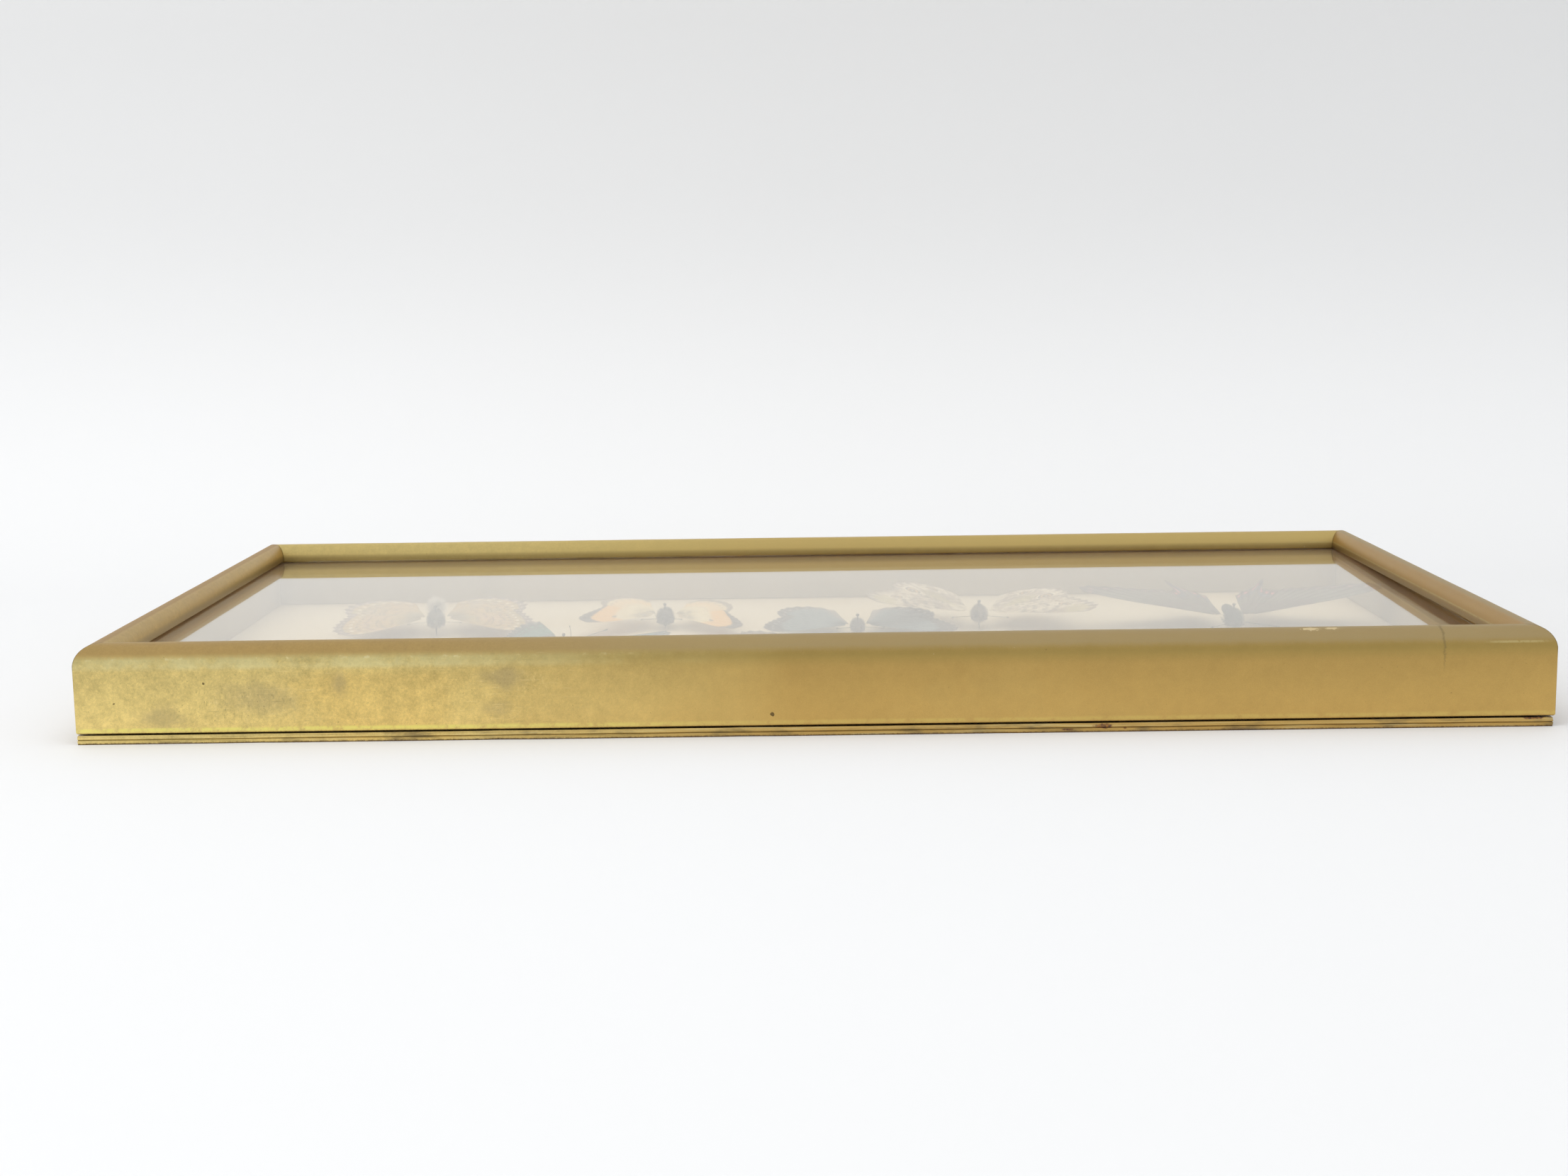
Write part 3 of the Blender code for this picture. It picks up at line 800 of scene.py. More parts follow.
def tawny_pattern(w):
    g = w.g
    ground = g.mix(w.cloud.rise(0.40, 0.62), (0.56, 0.38, 0.15), (0.47, 0.38, 0.17))
    salmon = w.reach.band(0.30, 0.72, 0.12) * w.cloud.rise(0.45, 0.62)
    tone = g.mix(salmon * 0.7, ground, (0.68, 0.42, 0.26) if w.fore else (0.52, 0.41, 0.31))
    for reach in (0.26, 0.40, 0.58):
        tone = g.mix(w.bands(reach, 0.020) * 0.60, tone, (0.20, 0.13, 0.07))
    tone = g.mix(w.reach.rise(0.26, 0.08) * 0.8, tone, (0.24, 0.21, 0.14))
    tone = g.mix(w.spots(0.70, 0.24) * 0.75, tone, (0.16, 0.11, 0.07))
    pale = w.spots(0.79, 0.20)
    tone = g.mix(pale * (0.95 if w.fore else 0.7), tone, (0.86, 0.80, 0.68))
    tone = g.mix(w.scalloped(0.875) * 0.92, tone, (0.20, 0.145, 0.155))
    tone = g.mix(w.spots(0.945, 0.20) * 0.7, tone, (0.66, 0.56, 0.46))
    return g.mix(w.veins() * 0.75, tone, (0.09, 0.055, 0.03)), 0.0


def teal_pattern(w):
    g = w.g
    tone = g.mix(w.cloud, (0.010, 0.035, 0.036), (0.030, 0.062, 0.056))
    glow = w.reach.band(0.30, 0.66, 0.07) * (0.5 + 0.5 * w.rays)
    tone = g.mix(glow, tone, (0.03, 0.21, 0.18))
    tone = g.mix(w.spots(0.78, 0.24) * 0.85, tone, (0.03, 0.36, 0.30))
    tone = g.mix(w.scalloped(0.90), tone, (0.012, 0.014, 0.016))
    tone = g.mix(w.spots(0.955, 0.15) * 0.8, tone, (0.60, 0.66, 0.58))
    return g.mix(w.veins() * 0.8, tone, (0.008, 0.010, 0.012)), 0.35 * glow


def orange_tip_pattern(w):
    g = w.g
    tone = g.mix(w.cloud, (0.80, 0.70, 0.46), (0.76, 0.62, 0.35))
    if w.fore:
        tip = (w.reach + w.share * 0.22).rise(0.58, 0.68)
        tone = g.mix(tip, tone, (0.84, 0.47, 0.10))
        edge = (w.reach + w.share * 0.20 + (w.mottle - 0.5) * 0.05).rise(0.94, 0.99)
        tone = g.mix(edge, tone, (0.055, 0.038, 0.028))
        tone = g.mix(w.away(0.47, 0.74).rise(0.42, 0.30), tone, (0.07, 0.05, 0.04))
    else:
        tone = g.mix(w.reach.band(0.50, 0.80, 0.1) * 0.55, tone, (0.83, 0.49, 0.15))
        edge = (w.reach + (w.mottle - 0.5) * 0.06).rise(0.84, 0.90)
        tone = g.mix(edge * 0.9, tone, (0.20, 0.145, 0.10))
        tone = g.mix(w.spots(0.78, 0.17) * 0.7, tone, (0.17, 0.12, 0.09))
    dusted = w.reach.rise(0.36, 0.06) * w.mottle.rise(0.30, 0.62)
    tone = g.mix(dusted * 0.85, tone, (0.13, 0.105, 0.085))
    return g.mix(w.veins() * 0.45, tone, (0.32, 0.22, 0.10)), 0.0


def blue_pattern(w):
    g = w.g
    shine = g.mix(w.rays, (0.120, 0.190, 0.235), (0.190, 0.270, 0.320))
    border = (w.reach + (w.share * 0.10 if w.fore else 0.0) + (w.mottle - 0.5) * 0.05).rise(0.78, 0.86)
    root = w.reach.rise(0.20, 0.05) * 0.6
    dark = border.larger(root)
    tone = g.mix(dark, shine, (0.030, 0.023, 0.026))
    tone = g.mix(w.spots(0.885, 0.17) * border * 0.85, tone, (0.50, 0.47, 0.46))
    if w.fore:
        tone = g.mix(w.share.rise(0.93, 0.97) * 0.85, tone, (0.035, 0.026, 0.024))
    else:
        tone = g.mix(w.share.rise(0.20, 0.05) * 0.7, tone, (0.36, 0.30, 0.27))
    tone = g.mix(w.veins() * 0.65, tone, (0.012, 0.020, 0.06))
    return tone, 0.35 * (1 - dark)


def ringed_pattern(w):
    g = w.g
    marble = (w.cloud * 0.55 + w.mottle * 0.45).rise(0.42, 0.56)
    tone = g.mix(marble, (0.34, 0.25, 0.165), (0.74, 0.65, 0.50))
    for reach in (0.22, 0.38, 0.54):
        tone = g.mix(w.bands(reach, 0.022, 0.07) * 0.75, tone, (0.14, 0.095, 0.065))
    olive = w.away(0.80, 0.80).rise(1.7, 0.9) if w.fore else w.away(0.35, 0.5).rise(1.8, 0.8)
    tone = g.mix(olive * 0.65, tone, (0.46, 0.39, 0.13))
    tone = g.mix(w.scalloped(0.90) * 0.8, tone, (0.23, 0.165, 0.12))
    tone = g.mix(w.spots(0.94, 0.22) * 0.75, tone, (0.80, 0.73, 0.60))
    tone = g.mix(w.veins() * 0.6, tone, (0.16, 0.11, 0.075))
    rings = ((0.70, 0.56, 0.62), (0.74, 0.31, 0.36)) if w.fore else ((0.68, 0.69, 0.66), (0.72, 0.31, 0.52))
    for reach, place, size in rings:
        away = w.away(reach, place) / size
        tone = g.mix(away.rise(1.35, 1.25), tone, (0.83, 0.75, 0.58))
        tone = g.mix(away.rise(1.10, 1.0), tone, (0.10, 0.065, 0.05))
        tone = g.mix(away.rise(0.80, 0.72), tone, (0.64, 0.40, 0.14))
        tone = g.mix(away.rise(0.52, 0.44), tone, (0.05, 0.045, 0.06))
        tone = g.mix(away.rise(0.20, 0.13), tone, (0.84, 0.84, 0.86))
    return tone, 0.0


def swallowtail_pattern(w):
    g = w.g
    dark = g.mix(w.cloud, (0.070, 0.040, 0.036), (0.120, 0.076, 0.062))
    panel = w.off_vein.rise(0.10, 0.22) * w.reach.band(0.40, 0.84 if w.fore else 0.62, 0.05)
    panel = panel * (0.35 + 0.65 * w.rays)
    tone = g.mix(panel * (0.85 if w.fore else 0.75), dark, (0.22, 0.25, 0.19))
    dusted = w.reach.rise(0.45, 0.10) * w.mottle.rise(0.42, 0.65)
    tone = g.mix(dusted * 0.6, tone, (0.20, 0.25, 0.20))
    if not w.fore:
        blue_band = w.reach.band(0.66, 0.76, 0.03) * 0.65 * w.mottle.rise(0.3, 0.6)
        tone = g.mix(blue_band, tone, (0.10, 0.20, 0.32))
        tone = g.mix(w.spots(0.86, 0.26), tone, (0.66, 0.20, 0.22))
    else:
        tone = g.mix(w.spots(0.925, 0.17) * 0.8, tone, (0.62, 0.36, 0.36))
    tone = g.mix((w.reach + (w.mottle - 0.5) * 0.02).rise(0.955, 0.975), tone, (0.035, 0.022, 0.026))
    return g.mix(w.veins() * 0.9, tone, (0.028, 0.018, 0.020)), 0.0


def brown_pattern(w):
    g = w.g
    tone = g.mix(w.cloud.rise(0.35, 0.65), (0.20, 0.130, 0.075), (0.30, 0.215, 0.135))
    tone = g.mix(w.reach.band(0.58, 0.76, 0.04) * 0.65, tone, (0.55, 0.36, 0.17))
    for reach in (0.34, 0.54):
        tone = g.mix(w.bands(reach, 0.013) * 0.8, tone, (0.085, 0.055, 0.035))
    tone = g.mix(w.scalloped(0.91) * 0.8, tone, (0.11, 0.075, 0.05))
    away = w.away(0.70, 0.69 if w.fore else 0.31)
    tone = g.mix(away.rise(0.62, 0.52), tone, (0.62, 0.44, 0.20))
    tone = g.mix(away.rise(0.42, 0.34), tone, (0.030, 0.024, 0.022))
    tone = g.mix(away.rise(0.15, 0.09), tone, (0.85, 0.85, 0.82))
    return g.mix(w.veins() * 0.6, tone, (0.09, 0.06, 0.035)), 0.0


def wing_finish(name, pattern, fore):
    """A scaled wing in a species' own pattern."""
    g = Graph(name)
    w = WingMap(g, fore)
    tone, metal = pattern(w)
    tone = g.shade(tone, 0.78 + 0.26 * w.scales + 0.22 * w.rays)
    worn = (w.reach + (w.mottle - 0.5) * 0.25).rise(0.93, 1.02) * w.scales.rise(0.45, 0.6)
    tone = g.mix(worn * 0.35, tone, (0.55, 0.47, 0.36))
    height = 0.5 * w.scales + 0.35 * w.rays + 0.5 * w.veins()
    return g.finish(g.principled({
        "Base Color": tone, "Metallic": metal, "Roughness": 0.62 + 0.18 * (w.scales - 0.5),
        "Normal": g.bump(height, 0.00006, 0.6), "Sheen Weight": 0.15,
    }))


def hair_finish(name, dark, light):
    """Hair or fringe scales, mottled from strand to strand."""
    g = Graph(name)
    at = g.place()
    lock = g.noise(at, 1300.0, 2.0, 0.6)
    broad = g.noise(at, 160.0, 2.0, 0.5)
    tone = g.mix((lock * 0.7 + broad * 0.3).rise(0.38, 0.62), dark, light)
    return g.finish(g.principled({
        "Base Color": tone, "Roughness": 0.55 + 0.2 * lock, "Normal": g.bump(lock, 0.00002, 0.3),
        "Sheen Weight": 0.3,
    }))


def skin_finish(name, dark, light):
    """The body's horny skin under the hair, ringed by its segments."""
    g = Graph(name)
    at = g.place()
    grain = g.noise(at, 2600.0, 3.0, 0.6)
    blotch = g.noise(at, 300.0, 3.0, 0.6)
    tone = g.mix(blotch.rise(0.4, 0.65), dark, light)
    return g.finish(g.principled({
        "Base Color": g.shade(tone, 0.75 + 0.5 * grain), "Roughness": 0.45 + 0.3 * grain,
        "Normal": g.bump(grain, 0.00004, 0.5),
    }))


def eye_finish():
    """Dark faceted eyes."""
    g = Graph("eye")
    facets = g.cells(g.place(), 9000.0)
    tone = g.mix(facets, (0.035, 0.022, 0.018), (0.012, 0.009, 0.008))
    return g.finish(g.principled({
        "Base Color": tone, "Roughness": 0.22 + 0.1 * facets, "Coat Weight": 0.5,
        "Normal": g.bump(1 - facets, 0.00003, 0.5),
    }))


# ---------------------------------------------------------------------------------------------
# The specimens. Outlines hold the outer edge's reach, at even steps from the trailing edge to the
# leading edge, as a share of the wing's length.


BROAD_FOREWING = (0.66, 0.70, 0.76, 0.84, 0.93, 1.00, 0.96)
POINTED_FOREWING = (0.60, 0.64, 0.70, 0.79, 0.91, 1.02, 0.99)
ROUND_HINDWING = (0.72, 0.90, 0.98, 1.00, 0.98, 0.93, 0.84)
LONG_HINDWING = (0.78, 0.96, 1.02, 0.98, 0.93, 0.88, 0.80)

WING_ROOT = 0.07
FOREWING_ROOT_Y = 0.0012
HINDWING_ROOT_Y = -0.0022
HINDWING_STEP = 0.0011
HINGE_GAP = 0.0008
HINGE_LIFT = 0.16
COSTA_BOW = 7.0
TAIL_SHARE = 0.36
TAIL_WIDTH = 0.055
PIN_HEAD_RADIUS = 0.0008
PIN_RADIUS = 0.0003
PIN_RISE = 0.0022
WING_ROWS = 26
LANE_COLUMNS = 9

# The body as (place from tail to head as a share of its length, radius as a share of the thorax's)
BODY_SHAPE = (
    (0.00, 0.10), (0.04, 0.26), (0.14, 0.50), (0.30, 0.64), (0.46, 0.56), (0.53, 0.52),
    (0.60, 0.80), (0.70, 0.90), (0.80, 0.78), (0.865, 0.42), (0.91, 0.54), (0.96, 0.46), (0.99, 0.12),
)
THORAX_SHARE = 0.70
ABDOMEN_END = 0.53
HEAD_SHARE = 0.92
SEGMENTS = 9
# How thick the fur stands, how long it is and how far it is swept back, by place along the body
FUR_DENSITY = ((0.0, ABDOMEN_END, 0.60, 0.80, 0.88, 1.0), (0.5, 0.6, 1.6, 1.6, 1.0, 0.8))
FUR_LENGTH = ((0.0, 0.10, ABDOMEN_END, 0.60, 0.82, 0.90, 1.0), (0.45, 0.30, 0.34, 1.0, 0.9, 0.5, 0.34))
FUR_LEAN = ((0.0, ABDOMEN_END, 0.7, 0.9, 1.0), (1.6, 1.3, 0.9, 0.2, -0.7))

# Each specimen: how far it is turned clockwise and tipped head up; the length of a forewing; the
# body's length and thickness; how far the wings rise, left first; the sweeps of fore and hind wings
# as leading and trailing edge; the hindwing's share of the forewing; outlines; tail; scallops;
# hair, skin and fringe as dark and light tones; and the pattern.
SPECIMENS = {
    "tawny": {
        "turn": 172, "tip": -5, "wing": 0.052, "body": 0.031, "thick": 0.0076, "rise": (3, 4),
        "fore": (50, -4), "hind": (4, -78), "share": 0.80, "tail": 0.0, "scallop": 0.045,
        "forewing": BROAD_FOREWING, "hindwing": ROUND_HINDWING, "pattern": tawny_pattern,
        "hair": ((0.055, 0.060, 0.055), (0.20, 0.17, 0.12)),
        "fringe": ((0.20, 0.15, 0.14), (0.72, 0.64, 0.54)),
        "tuft": 0.0060,
    },
    "teal": {
        "turn": 30, "tip": 5, "wing": 0.043, "body": 0.028, "thick": 0.0056, "rise": (0, 2),
        "fore": (42, -5), "hind": (4, -74), "share": 0.80, "tail": 0.0, "scallop": 0.03,
        "forewing": BROAD_FOREWING, "hindwing": LONG_HINDWING, "pattern": teal_pattern,
        "hair": ((0.010, 0.012, 0.013), (0.04, 0.06, 0.055)),
        "fringe": ((0.012, 0.014, 0.015), (0.34, 0.36, 0.32)),
    },
    "orange_tip": {
        "turn": 182, "tip": -7, "wing": 0.040, "body": 0.024, "thick": 0.0074, "rise": (2, 9),
        "fore": (44, -8), "hind": (0, -76), "share": 0.74, "tail": 0.0, "scallop": 0.01,
        "forewing": POINTED_FOREWING, "hindwing": ROUND_HINDWING, "pattern": orange_tip_pattern,
        "hair": ((0.040, 0.034, 0.030), (0.16, 0.13, 0.095)),
        "fringe": ((0.09, 0.06, 0.045), (0.60, 0.42, 0.20)),
    },
    "blue": {
        "turn": 178, "tip": -4, "wing": 0.046, "body": 0.024, "thick": 0.0056, "rise": (3, 6),
        "fore": (38, -14), "hind": (-6, -78), "share": 0.82, "tail": 0.0, "scallop": 0.02,
        "forewing": BROAD_FOREWING, "hindwing": ROUND_HINDWING, "pattern": blue_pattern,
        "hair": ((0.050, 0.044, 0.042), (0.22, 0.19, 0.17)),
        "fringe": ((0.30, 0.25, 0.21), (0.72, 0.66, 0.58)),
    },
    "ringed": {
        "turn": 184, "tip": -4, "wing": 0.055, "body": 0.031, "thick": 0.0070, "rise": (9, 15),
        "fore": (34, -16), "hind": (-8, -78), "share": 0.80, "tail": 0.0, "scallop": 0.035,
        "forewing": BROAD_FOREWING, "hindwing": ROUND_HINDWING, "pattern": ringed_pattern,
        "hair": ((0.075, 0.055, 0.042), (0.30, 0.24, 0.18)),
        "fringe": ((0.24, 0.18, 0.13), (0.80, 0.74, 0.63)),
    },
    "swallowtail": {
        "turn": 181, "tip": -7, "wing": 0.066, "body": 0.036, "thick": 0.0080, "rise": (9, 9),
        "fore": (-6, -52), "hind": (-42, -86), "share": 0.62, "tail": 0.34, "scallop": 0.03,
        "forewing": POINTED_FOREWING, "hindwing": LONG_HINDWING, "pattern": swallowtail_pattern,
        "hair": ((0.020, 0.028, 0.030), (0.07, 0.09, 0.085)),
        "fringe": ((0.035, 0.022, 0.026), (0.28, 0.20, 0.20)),
    },
    "brown": {
        "turn": 186, "tip": -4, "wing": 0.043, "body": 0.025, "thick": 0.0056, "rise": (8, 13),
        "fore": (36, -10), "hind": (-2, -76), "share": 0.82, "tail": 0.0, "scallop": 0.03,
        "forewing": BROAD_FOREWING, "hindwing": ROUND_HINDWING, "pattern": brown_pattern,
        "hair": ((0.055, 0.038, 0.026), (0.22, 0.16, 0.10)),
        "fringe": ((0.13, 0.09, 0.06), (0.55, 0.44, 0.32)),
    },
}


def thorax_of(name, spec):
    """The thorax's middle, found from the pin that goes through it."""
    low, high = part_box(f"{name}_pin")
    middle = (low + high) / 2
    return Vector((middle.x, middle.y, high.z - PIN_HEAD_RADIUS - PIN_RISE - spec["thick"] / 2))


def specimen_place(name, spec):
    """From the specimen's own space, head along +Y and thorax at the origin, to the box."""
    return (
        Matrix.Translation(thorax_of(name, spec))
        @ Matrix.Rotation(math.radians(-spec["turn"]), 4, "Z")
        @ Matrix.Rotation(math.radians(spec["tip"]), 4, "X")
    )


def reach_at(outline, place):
    """The outline's reach at a share of the way round, smooth between its steps."""
    place *= len(outline) - 1
    low = min(int(place), len(outline) - 2)
    t = place - low
    before = outline[max(low - 1, 0)]
    start, end = outline[low], outline[low + 1]
    after = outline[min(low + 2, len(outline) - 1)]
    curve = (end - before) * t + (2 * before - 5 * start + 4 * end - after) * t**2
    curve += (3 * (start - end) + after - before) * t**3
    return start + curve / 2


def wing_sizes(spec, fore):
    """(length, outline, tail, lead, trail, root) of a fore or hind wing."""
    lead, trail = spec["fore" if fore else "hind"]
    if fore:
        return spec["wing"], spec["forewing"], 0.0, lead, trail, Vector((0, FOREWING_ROOT_Y, 0))
    root = Vector((0, HINDWING_ROOT_Y, -HINDWING_STEP))
    return spec["wing"] * spec["share"], spec["hindwing"], spec["tail"], lead, trail, root


def wing_matrix(name, spec, side, root):
    rise = math.radians(spec["rise"][0 if side < 0 else 1])
    hinge = Vector((spec["thick"] / 2 + HINGE_GAP, 0, spec["thick"] * HINGE_LIFT))
    return (
        specimen_place(name, spec)
        @ Matrix.Scale(side, 4, (1, 0, 0))
        @ Matrix.Translation(hinge + root)
        @ Matrix.Rotation(-rise, 4, "Y")
    )


def wing_surface(spec, fore, reach, place, settings):
    """A point of the right wing in its own plane, with its veins, scallops and ripples."""
    size, outline, tail, lead, trail, _ = wing_sizes(spec, fore)
    angle = math.radians(trail + (lead + COSTA_BOW * (1 - reach) - trail) * place)
    edge = reach_at(outline, place)
    edge += tail * math.exp(-(((place - TAIL_SHARE) / TAIL_WIDTH) ** 2))
    lane = place * LANES
    to_vein = abs(lane - round(lane))
    edge *= 1 - spec["scallop"] * 2 * to_vein * reach**5 * min(1.0, 6 * place, 6 * (1 - place))
    radius = size * edge * reach
    ridge = max(0.0, 1 - to_vein * LANE_COLUMNS * 0.55)
    if 3 <= lane <= 7 and reach < CELL_END and round(lane) not in (3, 7):
        ridge = 0.0
    height = settings.vein_height * ridge * (1 - 0.7 * reach)
    if place > 0.985 or place < 0.015:
        height += settings.vein_height * 0.8 * (1 - reach)
    height += settings.ripple * math.sin(5.1 * place + 9.0 * reach) * reach
    height += settings.ripple * 0.5 * math.cos(math.tau * lane) * reach**2
    return Vector((radius * math.cos(angle), radius * math.sin(angle), height))


def model_wing(name, spec, side, word, fore, materials, settings):
    """One wing: a gridded sheet drawn into shape, given its thickness and a scaly fringe."""
    kind = "forewing" if fore else "hindwing"
    deselect()
    columns = LANES * LANE_COLUMNS
    bpy.ops.mesh.primitive_grid_add(x_subdivisions=WING_ROWS, y_subdivisions=columns, size=1.0)
    wing = adopt(f"{name}_{word}_{kind}")
    root = wing_sizes(spec, fore)[-1]
    place = wing_matrix(name, spec, side, root)

    def shaped(point):
        reach = WING_ROOT + (1 - WING_ROOT) * min(max(point.x + 0.5, 0.0), 1.0) ** 0.85
        return place @ wing_surface(spec, fore, reach, min(max(point.y + 0.5, 0.0), 1.0), settings)

    move_points(wing, shaped)
    if side < 0:
        edit(wing, selected=True)
        bpy.ops.mesh.flip_normals()
        bpy.ops.object.mode_set(mode="OBJECT")
    modify(wing, "SOLIDIFY", thickness=settings.wing_thickness, offset=0.0)
    soften(wing, 60)
    wing.data.materials.append(materials[0])
    fringe = model_fringe(wing.name + "_edge", spec, fore, place, settings)
    fringe.data.materials.append(materials[1])
    join([wing, fringe])
    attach(wing, BODY)
    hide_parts(f"{name}_{kind}_{word}")


def model_fringe(name, spec, fore, place, settings):
    """Short hair-like scales along the outer edge of a wing."""
    rng = np.random.default_rng(len(name) * 31 + int(spec["wing"] * 1e5) + fore)
    size = wing_sizes(spec, fore)[0]
    count = int(size / 0.00013)
    roots, tips = [], []
    for number in range(count):
        spot = (number + rng.random()) / count
        near = wing_surface(spec, fore, 0.993, spot, settings)
        inner = wing_surface(spec, fore, 0.955, spot, settings)
        out = (near - inner).normalized()
        jitter = Vector(rng.normal(0, 0.16, 3))
        reach = settings.fringe * (0.55 + 0.6 * rng.random())
        roots.append(place @ near)
        tips.append(place @ (near + (out + jitter).normalized() * reach))
    roots, tips = np.array(roots), np.array(tips)
    widths = np.full(count, 0.000045)
    return strands(name, roots, tips, widths, np.zeros((count, 3)))


def body_radius(spec, place):
    """The body's radius at a share of its length, pinched between the abdomen's segments."""
    shares = [row[0] for row in BODY_SHAPE]
    radii = [row[1] for row in BODY_SHAPE]
    radius = float(np.interp(place, shares, radii)) * spec["thick"] / 2
    if 0.03 < place < ABDOMEN_END:
        ring = (place / ABDOMEN_END * SEGMENTS) % 1.0
        radius *= 1.0 - 0.07 * (1 - math.sin(math.pi * ring)) ** 2
    return radius


def model_torso(name, spec, place):
    """Abdomen, thorax and head in one, with eyes and palps."""
    steps = 64
    stations = []
    for step in range(steps + 1):
        spot = 0.99 * step / steps
        droop = -0.0010 * max(0.0, ABDOMEN_END - spot) ** 2 * 8
        centre = (0.0, (spot - THORAX_SHARE) * spec["body"], droop)
        stations.append((centre, body_radius(spec, spot)))
    torso = turned(f"{name}_torso", stations, 22)
    head = Vector((0, (HEAD_SHARE - THORAX_SHARE) * spec["body"], 0))
    bead = spec["thick"] * 0.155
    extras = []
    for side, word in SIDES:
        deselect()
        beside = head + Vector((side * bead * 1.25, bead * 0.5, bead * 0.35))
        bpy.ops.mesh.primitive_uv_sphere_add(segments=18, ring_count=12, radius=bead, location=beside,
                                             scale=(0.75, 1.0, 1.0))
        extras.append(adopt(f"{name}_eye_{word}"))
        palp = []
        for step in range(6):
            t = step / 5
            out = side * bead * (0.35 + 0.15 * t)
            centre = head + Vector((out, bead * (0.9 + 1.9 * t), bead * (0.9 * t * t - 0.3)))
            palp.append((tuple(centre), bead * (0.34 * math.sin(math.pi * (0.15 + 0.8 * t)) + 0.02)))
        extras.append(turned(f"{name}_palp_{word}", palp, 8))
    return torso, extras


def model_feelers(name, spec):
    """Two ringed antennae that end in clubs."""
    pieces = []
    start = (HEAD_SHARE - THORAX_SHARE) * spec["body"]
    for side, word in SIDES:
        stations = []
        steps = 40
        for step in range(steps + 1):
            t = step / steps
            out = side * (0.0007 + spec["wing"] * (0.19 * t + 0.034 * t * t))
            centre = (out, start + spec["wing"] * 0.30 * t, spec["thick"] * 0.10 + 0.0030 * t)
            radius = 0.00012 * (1 + 0.16 * (step % 2))
            radius += 0.00026 * math.exp(-(((t - 0.955) / 0.035) ** 2))
            if step == steps:
                radius = 0.00004
            stations.append((centre, radius))
        pieces.append(turned(f"{name}_feeler_{word}", stations, 8))
    return join(pieces)


def model_legs(name, spec):
    """Three pairs of jointed legs folded under the thorax."""
    pieces = []
    thick = spec["thick"]
    for side, word in SIDES:
        for number, start in enumerate((0.10, 0.0, -0.09)):
            root = Vector((side * thick * 0.20, start * spec["body"], -thick * 0.36))
            knee = root + Vector((side * thick * 0.34, -0.0016 - 0.0006 * number, thick * 0.03))
            heel = knee + Vector((-side * thick * 0.12, -0.0034, -0.0002))
            toe = heel + Vector((side * thick * 0.05, -0.0024, -0.0003))
            stations = []
            for near, far, thin in ((root, knee, 0.00026), (knee, heel, 0.00019), (heel, toe, 0.00012)):
                for step in range(4):
                    t = step / 4
                    stations.append((tuple(near.lerp(far, t)), thin * (1.15 - 0.4 * t)))
            stations.append((tuple(toe), 0.00005))
            stations.reverse()
            pieces.append(turned(f"{name}_leg_{word}_{number}", stations, 7))
    return join(pieces)


def model_fur(name, spec, torso, settings):
    """Hair over the body: long and swept back on the thorax, short on the abdomen."""
    rng = np.random.default_rng(7 * len(name) + int(spec["wing"] * 1e5))
    mesh = torso.data
    mesh.calc_loop_triangles()
    points = np.array([vert.co for vert in mesh.vertices])
    corners = points[np.array([tri.vertices for tri in mesh.loop_triangles])]
    normals = np.cross(corners[:, 1] - corners[:, 0], corners[:, 2] - corners[:, 0])
    areas = np.linalg.norm(normals, axis=1) / 2
    normals /= np.maximum(areas[:, None] * 2, 1e-12)
    place = corners.mean(axis=1)[:, 1] / spec["body"] + THORAX_SHARE
    weight = areas * np.interp(place, *FUR_DENSITY)
    chosen = rng.choice(len(areas), settings.hairs, p=weight / weight.sum())
    mix = rng.dirichlet((1, 1, 1), settings.hairs)
    roots = (corners[chosen] * mix[:, :, None]).sum(axis=1)
    out = normals[chosen]
    spot = roots[:, 1] / spec["body"] + THORAX_SHARE
    reach = np.interp(spot, *FUR_LENGTH)
    reach = settings.hair * reach * (0.55 + 0.6 * rng.random(settings.hairs))
    back = np.array((0.0, -1.0, 0.0))
    lean = np.interp(spot, *FUR_LEAN)
    heading = out + back * lean[:, None] + rng.normal(0, 0.22, (settings.hairs, 3))
    heading /= np.linalg.norm(heading, axis=1, keepdims=True)
    tips = roots + heading * reach[:, None]
    low_limit = LINING_TOP + 0.0004 - thorax_of(name, spec).z
    tips[:, 2] = np.maximum(tips[:, 2], low_limit + 0.0004)
    bends = out * reach[:, None] * 0.16
    widths = rng.uniform(0.000022, 0.000042, settings.hairs)
    return strands(f"{name}_fur", roots - out * 0.00006, tips, widths, bends)


def model_tuft(name, spec, reach, count):
    """A ball of long pale hair round the end of the abdomen."""
    rng = np.random.default_rng(11)
    heading = rng.normal(0, 1, (count, 3)) + np.array((0.0, -0.35, 0.45))
    heading /= np.linalg.norm(heading, axis=1, keepdims=True)
    tail = np.array((0.0, (0.05 - THORAX_SHARE) * spec["body"], 0.0006))
    roots = tail + heading * 0.0009
    reaches = reach * rng.uniform(0.55, 1.0, count)
    tips = roots + heading * reaches[:, None]
    bends = rng.normal(0, 0.10, (count, 3)) * reaches[:, None]
    return strands(f"{name}_tuft", roots, tips, rng.uniform(0.00003, 0.00006, count), bends)


# ---------------------------------------------------------------------------------------------
# Operators


